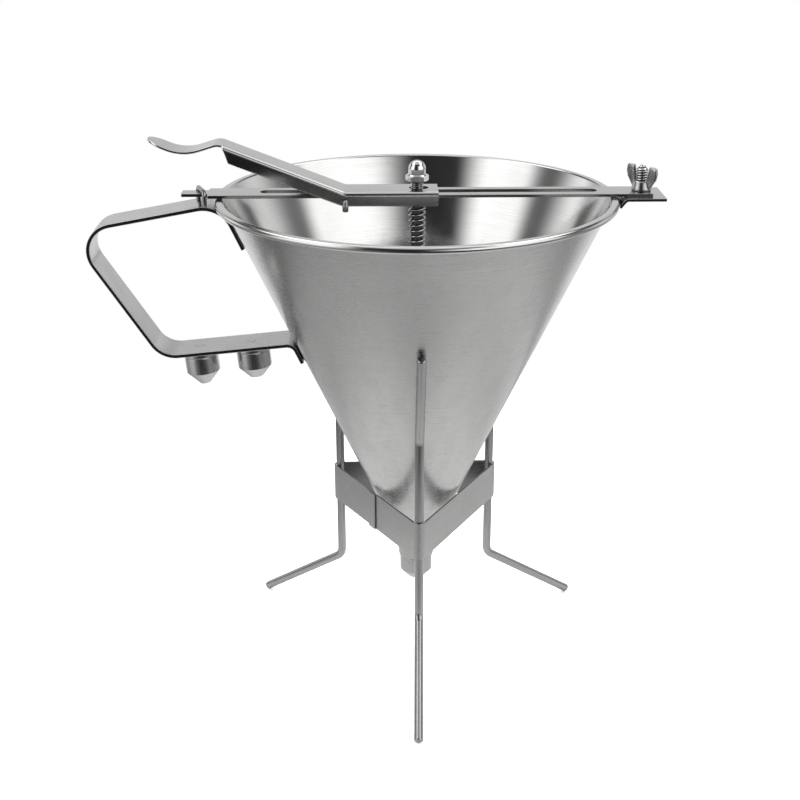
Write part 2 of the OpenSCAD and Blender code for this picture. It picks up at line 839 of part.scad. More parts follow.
module thumb_lever() {
    color(strip_colour)
        difference() {
            union() {
                difference() {
                    intersection() {
                        crossed_bars(lever_w, 0, lever_fold_r);
                        across(2 * lever_w) flange_side();
                    }
                    crossed_bars(lever_w - 2 * lever_t, lever_t, lever_fold_r - lever_t);
                }
                thumb_rest();
            }
            rod_slot();
            translate([pivot_x, lever_w, pin_z])
                rotate([90, 0, 0])
                    cylinder(h = 2 * lever_w, d = pin_d + 2 * fit_gap);
        }
}

// Piston

plug_nose = 0.6;
plug_low_z = seat_z - plug_nose;
// The plug's cone lies parallel to the seat, with the resting gap between them.
plug_drop = body_gap * sqrt(2);
function plug_r(z) = outlet_bore_d / 2 + (z - seat_z) - plug_drop;
plug_wide_z = seat_z + plug_drop + (plug_d - outlet_bore_d) / 2;
plug_rim_h = 1.2;
plug_neck_h = 5;
plug_floor = 1.5;
rod_low_z = plug_low_z + plug_floor;

module piston_rod() {
    edge = 0.6;
    color(turned_colour)
        difference() {
            rotate_extrude()
                polygon([
                    [0, rod_low_z],
                    [rod_d / 2, rod_low_z],
                    [rod_d / 2, rod_top_z - edge],
                    [rod_d / 2 - edge, rod_top_z],
                    [0, rod_top_z]
                ]);
            translate([0, 0, cross_pin_z])
                rotate([0, 90, 0])
                    cylinder(h = 2 * rod_d, d = cross_pin_d + 2 * fit_gap, center = true);
        }
}

module valve_plug() {
    socket_r = rod_d / 2 + fit_gap;
    neck_wall = 1.2;
    neck_r = rod_d / 2 + neck_wall;
    rim_z = plug_wide_z + plug_rim_h;
    color(turned_colour)
        rotate_extrude()
            polygon([
                [0, plug_low_z],
                [plug_r(plug_low_z), plug_low_z],
                [plug_d / 2, plug_wide_z],
                [plug_d / 2, rim_z],
                [neck_r, rim_z + plug_d / 2 - neck_r],
                [neck_r, rim_z + plug_neck_h],
                [socket_r, rim_z + plug_neck_h],
                [socket_r, rod_low_z - fit_gap],
                [0, rod_low_z - fit_gap]
            ]);
}

module spring_washer() {
    color(turned_colour)
        translate([0, 0, washer_z])
            difference() {
                cylinder(h = washer_t, d = washer_d);
                translate([0, 0, -washer_t])
                    cylinder(h = 3 * washer_t, d = rod_d + 2 * fit_gap);
            }
}

module cross_pin() {
    color(turned_colour)
        translate([0, 0, cross_pin_z])
            rotate([0, 90, 0])
                cylinder(h = cross_pin_l, d = cross_pin_d, center = true);
}

module cap_nut() {
    socket_r = rod_d / 2 + fit_gap;
    dome_step = 0.7;
    dome_r = nut_flats / 2 - dome_step;
    dome_z = nut_hex_h + nut_dome_h - dome_r;
    dome = [for (a = [0:10:90]) [dome_r * cos(a), dome_z + dome_r * sin(a)]];
    corner = nut_flats / sqrt(3);
    corner_cut = (corner - nut_flats / 2) / 2;
    color(polished_colour)
        translate([0, 0, nut_z])
            difference() {
                union() {
                    intersection() {
                        cylinder(h = nut_hex_h, r = corner, $fn = 6);
                        // A turned cone takes the sharp corners off the hexagon.
                        rotate_extrude()
                            polygon([
                                [0, 0],
                                [nut_flats / 2, 0],
                                [corner, corner_cut],
                                [corner, nut_hex_h - corner_cut],
                                [nut_flats / 2, nut_hex_h],
                                [0, nut_hex_h]
                            ]);
                    }
                    rotate_extrude() polygon(concat([[0, nut_hex_h / 2], [dome_r, nut_hex_h / 2]], dome));
                }
                translate([0, 0, -nut_hex_h])
                    cylinder(h = rod_top_z - nut_z + nut_hex_h + fit_gap, r = socket_r);
            }
}

// Return spring: one tube along a helix, with a straight end at the bar and at the washer

rings_per_curl = 8;
tube_sides = 6;
coil_r = (spring_d - spring_wire) / 2;
coil_top_z = bar_z - spring_wire;
coil_low_z = washer_z + washer_t + spring_wire;
coil_rings = spring_curls * rings_per_curl;

function coil_point(i) =
    let (a = 360 * i / rings_per_curl)
    [coil_r * cos(a), coil_r * sin(a), coil_top_z + (coil_low_z - coil_top_z) * i / coil_rings];

spring_path = concat(
    [coil_point(0) + [0, 0, spring_wire]],
    [for (i = [0:coil_rings]) coil_point(i)],
    [coil_point(coil_rings) - [0, 0, spring_wire]]
);

// Least gap between two curls, measured between points a full curl or so apart.
spring_gap = min([
    for (i = [0:coil_rings]) for (j = [i + rings_per_curl - 1:min(i + rings_per_curl + 1, coil_rings)])
        norm(coil_point(j) - coil_point(i)) - spring_wire
]);
echo(spring_least_gap_mm = spring_gap);

module return_spring() {
    color(polished_colour)
        tube(spring_path, [for (p = spring_path) [p.x, p.y, 0]], spring_wire, tube_sides);
}

stand_band();
stand_leg_front();
stand_leg_right();
stand_leg_left();
funnel_cone();
outlet_collar();
handle_strip();
handle_eye();
nozzle_stud_outer();
nozzle_stud_inner();
clamp_bracket();
clamp_stud();
crossbar();
hinge_saddle();
hinge_pin();
return_spring();
thumb_lever();
piston_rod();
cap_nut();
spring_washer();
cross_pin();
valve_plug();
wing_nut();
nozzle_fitted();
nozzle_spare_outer();
nozzle_spare_inner();
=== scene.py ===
"""Looks of a sauce dispenser: a steel piston funnel with a thumb lever, hanging in a wire tripod stand.

Shapes are worked out in millimetres and put down in metres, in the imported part's own frame: +Z is up along
the funnel's axis, the cross bar lies along X with the handle at -X, and the front leg stands at -Y.
"""
import json
import logging
import math
from dataclasses import dataclass, field
from enum import Enum
from typing import Sequence

import bpy
import numpy as np
import numpy.typing as npt
from mathutils import Matrix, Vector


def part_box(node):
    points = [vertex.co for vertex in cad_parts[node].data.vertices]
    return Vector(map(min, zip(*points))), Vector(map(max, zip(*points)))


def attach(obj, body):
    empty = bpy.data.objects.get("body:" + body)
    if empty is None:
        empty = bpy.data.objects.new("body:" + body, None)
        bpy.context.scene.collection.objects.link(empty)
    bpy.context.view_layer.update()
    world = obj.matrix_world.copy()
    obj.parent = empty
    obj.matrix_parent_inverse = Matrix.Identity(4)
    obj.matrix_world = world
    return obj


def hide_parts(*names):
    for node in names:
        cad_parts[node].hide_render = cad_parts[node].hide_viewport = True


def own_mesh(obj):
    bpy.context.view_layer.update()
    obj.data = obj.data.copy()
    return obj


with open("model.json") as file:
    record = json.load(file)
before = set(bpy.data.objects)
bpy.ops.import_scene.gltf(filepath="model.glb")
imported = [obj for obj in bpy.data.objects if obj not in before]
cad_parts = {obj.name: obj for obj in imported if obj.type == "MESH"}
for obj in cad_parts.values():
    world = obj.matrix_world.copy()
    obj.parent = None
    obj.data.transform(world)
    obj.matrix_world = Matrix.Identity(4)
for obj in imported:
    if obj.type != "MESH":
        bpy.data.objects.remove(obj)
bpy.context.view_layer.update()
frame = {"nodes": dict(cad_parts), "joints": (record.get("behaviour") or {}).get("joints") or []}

MM = 0.001
# Name of the map of a piece's flat coordinates
FLAT = "flat"
# Fineness of smudges and scratches, and the share of grey and the added roughness where they are strongest
SMUDGE_FINENESS = 0.06
DULL_SHARE = 0.62
DULL_ROUGHNESS = 0.5
# Gap in millimetres between pieces that are welded, riveted or screwed to each other
SNUG = 0.05
# Material slot of sheared edges and of the walls of holes, whose dark finish is duller sheared metal and
# partly painted shade
CUT_SLOT = 1

Floats = npt.NDArray[np.float64]
Ints = npt.NDArray[np.int64]
Pair = tuple[float, float]
Socket = bpy.types.NodeSocket

log = logging.getLogger("dispenser")


class Slot(Enum):
    """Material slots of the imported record."""

    SHEET = "brushed_sheet"
    STRIP = "strip_steel"
    WIRE = "wire_steel"
    TURNED = "turned_steel"
    POLISHED = "polished_steel"


class Ends(Enum):
    """How the two ends of a swept piece are closed."""

    MIDLINE = "midline"
    CENTRE = "centre"


class Grain(Enum):
    """The way the polishing lines run on a piece's flat coordinates."""

    ALONG = "along"
    AROUND = "around"


class NodeBox:
    """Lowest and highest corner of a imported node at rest, in millimetres."""

    def __init__(self, node: str) -> None:
        """Reads the node's box from the frame."""
        self.low, self.high = ((np.array(corner) / MM).tolist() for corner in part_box(node))

    @property
    def middle(self) -> list[float]:
        """Middle of the box."""
        return [(low + high) / 2 for low, high in zip(self.low, self.high)]


def joint(name: str) -> dict:
    """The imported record's joint of that name."""
    return next(j for j in frame["joints"] if j["name"] == name)


def unit(vectors: Floats) -> Floats:
    """Vectors scaled to length one along the last axis."""
    return vectors / np.linalg.norm(vectors, axis=-1, keepdims=True)


def running(lengths: Floats) -> Floats:
    """Sums of the lengths so far, starting at zero."""
    return np.concatenate([[0.0], np.cumsum(lengths)])


def smooth_step(values: Floats) -> Floats:
    """Values clipped to 0 and 1 and eased at both ends."""
    held = np.clip(values, 0.0, 1.0)
    return held * held * (3.0 - 2.0 * held)


def arc(centre: Sequence[float], radius: float, start: float, stop: float, steps: int) -> Floats:
    """Points on a circle between two angles in degrees, one more than the steps."""
    angles = np.radians(np.linspace(start, stop, steps + 1))
    return np.asarray(centre) + radius * np.stack([np.cos(angles), np.sin(angles)], axis=-1)


def circle(centre: Sequence[float], radius: float, sides: int) -> Floats:
    """Points on a full circle, the first one not repeated."""
    return arc(centre, radius, 0, 360, sides)[:-1]


def bend(before: Floats, corner: Floats, after: Floats, radius: float, steps: int) -> Floats:
    """Points of the arc that rounds one corner of a path, in any number of dimensions.

    The arc is part of the circle that touches both runs, and it takes less than half of either run.

    Args:
        before: Point before the corner.
        corner: The corner.
        after: Point after the corner.
        radius: Wanted radius.
        steps: Number of chords.

    Returns:
        The arc's points, or the corner alone where the path runs straight on.
    """
    most = 0.48
    straight = 1e-3
    back, on = before - corner, after - corner
    room = most * min(np.linalg.norm(back), np.linalg.norm(on))
    back, on = unit(back), unit(on)
    half = math.acos(float(np.clip(back @ on, -1.0, 1.0))) / 2
    if math.pi / 2 - half < straight or radius <= 0:
        return corner[None]
    radius = min(radius, room * math.tan(half))
    centre = corner + unit(back + on) * radius / math.sin(half)
    first = corner + back * radius / math.tan(half) - centre
    last = corner + on * radius / math.tan(half) - centre
    angle = math.pi - 2 * half
    share = np.linspace(0.0, 1.0, steps + 1)[:, None]
    return centre + (np.sin((1 - share) * angle) * first + np.sin(share * angle) * last) / math.sin(angle)


def rounded(corners: Sequence[Sequence[float]], radii: float | Sequence[float], steps: int,
            closed: bool = False) -> Floats:
    """A path through corners, with its corners rounded.

    Args:
        corners: Corner points.
        radii: One radius for all corners, or one for each corner that is rounded.
        steps: Chords of each arc.
        closed: Whether the path comes back to its start.

    Returns:
        The points of the path.
    """
    points = np.asarray(corners, dtype=float)
    count = len(points)
    first, last = (0, count) if closed else (1, count - 1)
    sizes = np.broadcast_to(np.asarray(radii, dtype=float), last - first)
    arcs = [bend(points[i - 1], points[i], points[(i + 1) % count], float(sizes[i - first]), steps)
            for i in range(first, last)]
    if not closed:
        arcs = [points[:1], *arcs, points[-1:]]
    return np.concatenate(arcs)


def resampled(path: Floats, stations: Floats) -> Floats:
    """The points of a path at given distances from its start."""
    along = running(np.linalg.norm(np.diff(path, axis=0), axis=1))
    return np.stack([np.interp(stations, along, path[:, k]) for k in range(path.shape[1])], axis=-1)


@dataclass
class Surface:
    """A mesh on numpy arrays.

    Attributes:
        points: (n, 3) points in millimetres.
        faces: (f, 4) corners of each face; a triangle repeats one.
        flat: (f, 4, 2) distance along and across the piece at each corner, in millimetres.
        slots: (f,) material slot of each face.
    """

    points: Floats
    faces: Ints
    flat: Floats
    slots: Ints

    @classmethod
    def grid(cls, points: Floats, join_rows: bool = False, join_columns: bool = False,
             row_slots: Ints | int = 0, column_slots: Ints | int = 0) -> "Surface":
        """Quads between the rows and columns of a grid of points.

        Args:
            points: (rows, columns, 3) points.
            join_rows: Whether the last row meets the first.
            join_columns: Whether the last column meets the first.
            row_slots: Material slot of the faces after each row.
            column_slots: Material slot of the faces after each column.

        Returns:
            The surface, with the running lengths of both directions as flat coordinates.
        """
        rows, columns = points.shape[:2]
        i = np.arange(rows if join_rows else rows - 1)[:, None]
        j = np.arange(columns if join_columns else columns - 1)[None, :]
        down, right = (i + 1) % rows, (j + 1) % columns
        corners = (i * columns + j, i * columns + right, down * columns + right, down * columns + j)
        faces = np.stack(np.broadcast_arrays(*corners), axis=-1).reshape(-1, 4)
        long = np.concatenate([points, points[:1]])
        wide = np.concatenate([points, points[:, :1]], axis=1)
        u = running(np.linalg.norm(np.diff(long, axis=0), axis=2).mean(axis=1))
        v = running(np.linalg.norm(np.diff(wide, axis=1), axis=2).max(axis=0))
        pairs = ((u[i], v[j]), (u[i], v[j + 1]), (u[i + 1], v[j + 1]), (u[i + 1], v[j]))
        flat = np.stack([np.stack(np.broadcast_arrays(*pair), axis=-1) for pair in pairs], axis=2)
        by_row = np.broadcast_to(np.asarray(row_slots), rows)[: len(i)]
        by_column = np.broadcast_to(np.asarray(column_slots), columns)[: j.shape[1]]
        slots = np.maximum(by_row[:, None], by_column[None, :]).reshape(-1)
        return cls(points.reshape(-1, 3), faces, flat.reshape(-1, 4, 2), slots).outward()

    def outward(self) -> "Surface":
        """The same surface with its faces turned outwards.

        Returns:
            The surface itself, or with every face reversed where its signed volume is below zero.
        """
        a, b, c, d = (self.points[self.faces[:, k]] for k in range(4))
        volume = np.einsum("ij,ij->", a, np.cross(b, c)) + np.einsum("ij,ij->", a, np.cross(c, d))
        if volume < 0:
            self.faces = self.faces[:, ::-1].copy()
            self.flat = self.flat[:, ::-1].copy()
        return self

    def placed(self, matrix: Floats, shift: Sequence[float] = (0.0, 0.0, 0.0)) -> "Surface":
        """The surface turned by a 3 by 3 matrix and then moved."""
        points = self.points @ np.asarray(matrix).T + np.asarray(shift)
        return Surface(points, self.faces, self.flat, self.slots)

    def moved(self, *shift: float) -> "Surface":
        """The surface moved by a distance on each axis."""
        return self.placed(np.eye(3), shift)

    def in_slot(self, slot: int) -> "Surface":
        """The surface with all its faces in one material slot."""
        return Surface(self.points, self.faces, self.flat, np.full_like(self.slots, slot))

    @staticmethod
    def join(*parts: "Surface") -> "Surface":
        """One surface with the points and faces of several."""
        starts = np.cumsum([0] + [len(p.points) for p in parts[:-1]])
        return Surface(
            np.concatenate([p.points for p in parts]),
            np.concatenate([p.faces + s for p, s in zip(parts, starts)]),
            np.concatenate([p.flat for p in parts]),
            np.concatenate([p.slots for p in parts]),
        )

    def mesh(self, name: str) -> bpy.types.Mesh:
        """Makes the Blender mesh in metres.

        Points that fall together are merged, so that poles and seams are closed.

        Args:
            name: Name of the mesh.

        Returns:
            The mesh, smooth shaded, with flat coordinates as its UV map.
        """
        merge = 1e-4
        keys = np.round(self.points / merge).astype(np.int64)
        _, first, inverse = np.unique(keys, axis=0, return_index=True, return_inverse=True)
        faces = inverse.reshape(-1)[self.faces]
        keep = faces != np.roll(faces, 1, axis=1)
        whole = keep.sum(axis=1) > 2
        faces, keep, flat, slots = faces[whole], keep[whole], self.flat[whole], self.slots[whole]
        totals = keep.sum(axis=1)
        mesh = bpy.data.meshes.new(name)
        mesh.vertices.add(len(first))
        mesh.vertices.foreach_set("co", (self.points[first] * MM).astype(np.float32).ravel())
        mesh.loops.add(int(totals.sum()))
        mesh.loops.foreach_set("vertex_index", faces[keep].astype(np.int32))
        mesh.polygons.add(len(faces))
        mesh.polygons.foreach_set("loop_start", (np.cumsum(totals) - totals).astype(np.int32))
        mesh.polygons.foreach_set("material_index", slots.astype(np.int32))
        mesh.polygons.foreach_set("use_smooth", np.ones(len(faces), dtype=bool))
        layer = mesh.uv_layers.new(name=FLAT)
        layer.uv.foreach_set("vector", flat[keep].astype(np.float32).ravel())
        mesh.update(calc_edges=True)
        mesh.validate()
        return mesh


def turned(radii: Floats, heights: Floats, angles: Floats) -> Floats:
    """Points at radii and heights about the Z axis, one column for each angle."""
    return np.stack(np.broadcast_arrays(radii * np.cos(angles), radii * np.sin(angles), heights), axis=-1)


def revolve(profile: Floats, around: int, closed: bool = True, row_slots: Ints | int = 0) -> Surface:
    """Turns a profile about the Z axis: each point (r, z) becomes a circle of radius r at height z.

    The seam of the flat coordinates lies at the back, at +Y.

    Args:
        profile: Points of radius and height.
        around: Points on each circle.
        closed: Whether the profile is a loop; an open one starts and ends on the axis.
        row_slots: Material slot after each profile point.

    Returns:
        The closed surface.
    """
    angles = math.pi / 2 + np.linspace(0.0, 2 * math.pi, around, endpoint=False)
    points = turned(profile[:, :1], profile[:, 1:], angles)
    return Surface.grid(points, join_rows=closed, join_columns=True, row_slots=row_slots)


def sweep(path: Floats, across: Sequence[float], sections: Floats, ends: Ends = Ends.MIDLINE,
          closed: bool = False, column_slots: Ints | int = 0, end_slot: int = 0) -> Surface:
    """Carries a section along a path.

    A point is the path's point plus the section's first number times the across direction plus its second
    number times the lift, which is the path's direction crossed with the across direction.

    Args:
        path: (n, 3) points.
        across: The across direction.
        sections: (m, 2) section, or one for each point of the path.
        ends: How the ends are closed.
        closed: Whether the path comes back to its start.
        column_slots: Material slot after each section point.
        end_slot: Material slot of the end faces.

    Returns:
        The surface.
    """
    ahead = np.roll(path, -1, axis=0) - np.roll(path, 1, axis=0) if closed else np.gradient(path, axis=0)
    way = unit(ahead)
    lift = unit(np.cross(way, np.broadcast_to(np.asarray(across, dtype=float), way.shape)))
    side = np.cross(lift, way)
    shape = np.broadcast_to(sections, (len(path),) + sections.shape[-2:])
    points = path[:, None] + shape[..., :1] * side[:, None] + shape[..., 1:] * lift[:, None]
    rows = np.zeros(len(path), dtype=np.int64)
    if not closed:
        caps = [points[k] for k in (0, -1)]
        if ends is Ends.MIDLINE:
            # A cap's points fall on the section's middle line, and its outermost ones on their neighbours
            inward = np.arange(points.shape[1])
            half = len(inward) // 2
            inward[[0, half - 1, half, -1]] += [1, -1, 1, -1]
            caps = [((row + row[::-1]) / 2)[inward] for row in caps]
        else:
            caps = [np.broadcast_to(row.mean(axis=0), row.shape) for row in caps]
        points = np.concatenate([caps[:1], points, caps[1:]])
        rows = np.concatenate([[end_slot], rows[:-1], [end_slot, end_slot]])
    return Surface.grid(points, join_rows=closed, join_columns=True, row_slots=rows,
                        column_slots=column_slots)


def sheet_section(width: float, thickness: float, edge: float) -> tuple[Floats, Ints]:
    """Section of a flat strip with eased edges: its upper side, then its lower side back.

    Args:
        width: Width of the strip.
        thickness: Thickness, from zero up.
        edge: Radius of its four edges.

    Returns:
        The section, and the material slot after each point: 1 on the two cut sides.
    """
    steps, half = 4, width / 2
    upper = np.concatenate([arc((edge - half, thickness - edge), edge, 180, 90, steps),
                            arc((half - edge, thickness - edge), edge, 90, 0, steps)])
    lower = np.concatenate([arc((half - edge, edge), edge, 0, -90, steps),
                            arc((edge - half, edge), edge, -90, -180, steps)])
    slots = np.zeros(len(upper) + len(lower), dtype=np.int64)
    slots[[len(upper) - 1, -1]] = CUT_SLOT
    return np.concatenate([upper, lower]), slots


def strip(path: Floats, width: float, thickness: float, edge: float) -> Surface:
    """A strip of sheet on the left of a path that is drawn in X and Z.

    Args:
        path: (n, 2) points.
        width: Width along Y.
        thickness: Thickness of the sheet.
        edge: Radius of its long edges.

    Returns:
        The strip, with its cut edges and ends in slot 1.
    """
    section, slots = sheet_section(width, thickness, edge)
    line = np.insert(path, 1, 0.0, axis=1)
    return sweep(line, (0, 1, 0), section, column_slots=slots, end_slot=CUT_SLOT)


def tube(path: Floats, hint: Sequence[float], radius: float, ease: float, sides: int = 24) -> Surface:
    """A round wire along a path, with eased ends.

    Each ring is a circle of the wire's radius; over the last part of the wire the radius falls as a quarter
    circle of the ease.

    Args:
        path: (n, 3) points on the wire's middle.
        hint: A direction that is never along the wire.
        radius: Radius of the wire.
        ease: Radius of the rounding at the ends.
        sides: Points on each ring.

    Returns:
        The closed surface.
    """
    ease_steps = 5
    turn = np.linspace(0.0, math.pi / 2, ease_steps + 1)[:, None]
    inset, less = ease * (1 - np.sin(turn)), ease * (1 - np.cos(turn))
    head = path[0] + unit(path[1] - path[0]) * inset
    tail = path[-1] + unit(path[-2] - path[-1]) * inset
    line = np.concatenate([head[::-1], path[1:-1], tail])
    sizes = np.concatenate([radius - less[::-1, 0], np.full(len(path) - 2, radius), radius - less[:, 0]])
    return sweep(line, hint, sizes[:, None, None] * circle((0, 0), 1.0, sides), Ends.CENTRE)


def prism(outline: Floats, low: float, high: float) -> Surface:
    """An upright prism on an outline in X and Y."""
    path = np.array([[0.0, 0.0, low], [0.0, 0.0, high]])
    return sweep(path, (1, 0, 0), outline, Ends.CENTRE)


def drill(outline: Floats, low: float, high: float) -> Surface:
    """A prism that cuts a hole, whose walls take the dark finish of sheared edges, partly painted shade."""
    return prism(outline, low, high).in_slot(CUT_SLOT)


def stadium(start: float, stop: float, width: float, steps: int = 16) -> Floats:
    """Outline of a slot along X with round ends."""
    ends = ((stop, -90), (start, 90))
    return np.concatenate([arc((x, 0), width / 2, turn, turn + 180, steps) for x, turn in ends])


def threaded(radius: float, low: float, high: float, thread: Pair, pitch: float, depth: float,
             chamfer: float) -> Surface:
    """A round bar with a screw thread on part of its length.

    The radius is the bar's radius less the depth times a rounded tooth, whose phase is the height over the
    pitch less the angle over a full turn; the depth fades in over one pitch at each end of the thread.

    Args:
        radius: Outer radius of the bar.
        low: Height of its lower end.
        high: Height of its upper end.
        thread: Heights between which the thread runs.
        pitch: Distance between the turns.
        depth: Depth of the thread.
        chamfer: Size of the bevel on the upper end.

    Returns:
        The closed surface, with the thread's roots in slot 1 and its crests in slot 2.
    """
    around, rows_per_turn, plain_rows, bevel_rows, root_share = 48, 12, 12, 4, 0.45
    plain, root, crest = 0, 1, 2
    fine = np.linspace(*thread, int((thread[1] - thread[0]) / pitch * rows_per_turn) + 2)
    heights = np.unique(np.concatenate([[low, high], np.linspace(low, high, plain_rows), fine,
                                        np.linspace(high - chamfer, high, bevel_rows)]))
    angles = np.linspace(0.0, 2 * math.pi, around, endpoint=False)
    phase = heights[:, None] / pitch - angles / (2 * math.pi)
    tooth = 0.5 - 0.5 * np.cos(2 * math.pi * phase)
    fade = smooth_step((heights - thread[0]) / pitch) * smooth_step((thread[1] - heights) / pitch + 1)
    bevel = np.minimum(radius, radius - chamfer + (high - heights))
    r = np.minimum(bevel[:, None], radius - depth * tooth * fade[:, None])
    rings = turned(r, heights[:, None], angles)
    poles = [np.broadcast_to(np.array([0.0, 0.0, end]), (1, around, 3)) for end in (low, high)]
    made = Surface.grid(np.concatenate([poles[0], rings, poles[1]]), join_columns=True)
    cutting = np.where(tooth * fade[:, None] > root_share, root, crest)
    cutting = np.where(fade[:, None] > root_share, cutting, plain)
    made.slots = np.concatenate([np.full(around, plain), cutting[:-1].reshape(-1), cutting[-1]])
    return made


def grey_colour(grey: float) -> tuple[float, float, float, float]:
    """A plain grey as a colour socket takes it."""
    return grey, grey, grey, 1.0


class Tree:
    """Adds nodes to a node tree and joins their sockets."""

    def __init__(self, tree: bpy.types.NodeTree) -> None:
        """Keeps the tree that nodes are added to."""
        self.tree = tree

    @classmethod
    def of(cls, owner: bpy.types.Material | bpy.types.World) -> "Tree":
        """Starts the nodes of a material or world anew.

        Args:
            owner: The material or world.

        Returns:
            Its tree, with no node in it.
        """
        owner.use_nodes = True
        owner.node_tree.nodes.clear()
        return cls(owner.node_tree)

    def add(self, kind: str, inputs: dict | None = None, **settings: object) -> bpy.types.Node:
        """Adds a node, sets its properties and feeds its inputs.

        Args:
            kind: Blender's name of the node type.
            inputs: Sockets or constants by the input's name or number.
            settings: Properties of the node.

        Returns:
            The node.
        """
        node = self.tree.nodes.new(kind)
        for name, value in settings.items():
            setattr(node, name, value)
        for place, value in (inputs or {}).items():
            self.feed(node.inputs[place], value)
        return node

    def feed(self, socket: Socket, value: object) -> None:
        """Links an input to another socket, or gives it a constant."""
        if isinstance(value, Socket):
            self.tree.links.new(value, socket)
        else:
            socket.default_value = value

    def math(self, operation: str, *values: object) -> Socket:
        """The result of one of Blender's operations on numbers or sockets."""
        return self.add("ShaderNodeMath", dict(enumerate(values)), operation=operation).outputs[0]

    def scaled(self, vector: Socket, scale: Sequence[float]) -> Socket:
        """A vector with each of its numbers scaled."""
        inputs = {0: vector, 1: tuple(scale)}
        return self.add("ShaderNodeVectorMath", inputs, operation="MULTIPLY").outputs[0]

    def remap(self, value: object, source: tuple[object, object], target: tuple[object, object],
              smooth: bool = True) -> Socket:
        """Maps a range of numbers to another one.

        Args:
            value: The number's socket.
            source: Range that it comes from; its ends may be sockets.
            target: Range that it goes to; its ends may be sockets.
            smooth: Whether the ends are eased.

        Returns:
            The result's socket.
        """
        kind = "SMOOTHSTEP" if smooth else "LINEAR"
        numbers = dict(enumerate((value, *source, *target)))
        return self.add("ShaderNodeMapRange", numbers, interpolation_type=kind).outputs[0]

    def noise(self, vector: object, scale: object, detail: float, roughness: float = 0.5) -> Socket:
        """Soft noise between 0 and 1, with a number of finer layers and their strength."""
        inputs = {"Vector": vector, "Scale": scale, "Detail": detail, "Roughness": roughness}
        return self.add("ShaderNodeTexNoise", inputs).outputs[0]

    def mix(self, factor: object, first: object, second: object) -> Socket:
        """A mix of two colours by a factor, the share of the second one."""
        node = self.add("ShaderNodeMix", {"Factor": factor, "A": first, "B": second}, data_type="RGBA")
        return node.outputs["Result"]

    def shaders(self, factor: object, first: bpy.types.Node, second: bpy.types.Node) -> Socket:
        """A mix of two shaders by a factor, the share of the second one."""
        inputs = {0: factor, 1: first.outputs[0], 2: second.outputs[0]}
        return self.add("ShaderNodeMixShader", inputs).outputs[0]

    def ramp(self, value: object, stops: Sequence[Pair]) -> Socket:
        """Greys between stops, eased at each stop.

        Args:
            value: A number's socket, between 0 and 1.
            stops: Place and grey of each stop, in order.

        Returns:
            The grey as a colour socket.
        """
        node = self.add("ShaderNodeValToRGB", {0: value})
        node.color_ramp.interpolation = "EASE"
        elements = node.color_ramp.elements
        while len(elements) < len(stops):
            elements.new(1.0)
        for element, (place, grey) in zip(elements, stops):
            element.position = place
            element.color = grey_colour(grey)
        return node.outputs[0]

    def use(self, group: bpy.types.NodeTree, **inputs: object) -> bpy.types.Node:
        """Adds a node group and feeds its inputs by name."""
        return self.add("ShaderNodeGroup", inputs, node_tree=group)


class Effects:
    """Node groups that several finishes share, each reading a place and a fineness."""

    def __init__(self) -> None:
        """Builds the groups."""
        self.lines = self.polishing_lines()
        self.marks = self.handling_marks()

    @staticmethod
    def start(name: str, *outputs: str) -> tuple[Tree, Sequence[Socket], bpy.types.Node]:
        """Starts a shader node group.

        Args:
            name: Name of the group.
            outputs: Names of its outputs, all numbers.

        Returns:
            The group's tree, the sockets of the place and the fineness, and its output node.
        """
        tree = bpy.data.node_groups.new(name, "ShaderNodeTree")
        tree.interface.new_socket("Vector", in_out="INPUT", socket_type="NodeSocketVector")
        tree.interface.new_socket("Fineness", in_out="INPUT", socket_type="NodeSocketFloat")
        for label in outputs:
            tree.interface.new_socket(label, in_out="OUTPUT", socket_type="NodeSocketFloat")
        sketch = Tree(tree)
        return sketch, sketch.add("NodeGroupInput").outputs[:2], sketch.add("NodeGroupOutput")

    def polishing_lines(self) -> bpy.types.NodeTree:
        """Fine parallel lines: coarse and fine noise, read where the caller has stretched the coordinates.

        Returns:
            A group with the lines' tone and their height.
        """
        sketch, (vector, fineness), out = self.start("polishing_lines", "Tone", "Height")
        fine_share, finer, much, contrast = 0.55, 3.7, 0.62, (0.3, 0.7)
        coarse = sketch.noise(vector, fineness, detail=3.0, roughness=much)
        fine = sketch.noise(vector, sketch.math("MULTIPLY", fineness, finer), detail=2.0, roughness=much)
        part = sketch.math("MULTIPLY", fine, fine_share)
        tone = sketch.math("MULTIPLY_ADD", coarse, 1 - fine_share, part)
        sketch.feed(out.inputs["Tone"], sketch.remap(tone, contrast, (0.0, 1.0)))
        sketch.feed(out.inputs["Height"], fine)
        return sketch.tree

    def handling_marks(self) -> bpy.types.NodeTree:
        """Soft smudges, and thin scratches that are the level lines of a slow noise, kept in a few patches.

        Returns:
            A group with the smudges and the scratches.
        """
        sketch, (vector, fineness), out = self.start("handling_marks", "Smudge", "Scratch")
        smudge_edge, patch_edge, middle, line_width = (0.38, 0.68), (0.56, 0.62), 0.5, 0.006
        long, slow_scale, patch_scale = (0.4, 1.0, 1.0), 4.0, 2.0
        smudge = sketch.noise(vector, fineness, detail=3.0)
        sketch.feed(out.inputs["Smudge"], sketch.remap(smudge, smudge_edge, (0.0, 1.0)))
        slow_fineness = sketch.math("MULTIPLY", fineness, slow_scale)
        slow = sketch.noise(sketch.scaled(vector, long), slow_fineness, detail=0.0)
        level = sketch.math("ABSOLUTE", sketch.math("SUBTRACT", slow, middle))
        line = sketch.remap(level, (0.0, line_width), (1.0, 0.0))
        patch = sketch.noise(vector, sketch.math("MULTIPLY", fineness, patch_scale), detail=1.0)
        kept = sketch.remap(patch, patch_edge, (0.0, 1.0))
        sketch.feed(out.inputs["Scratch"], sketch.math("MULTIPLY", line, kept))
        return sketch.tree


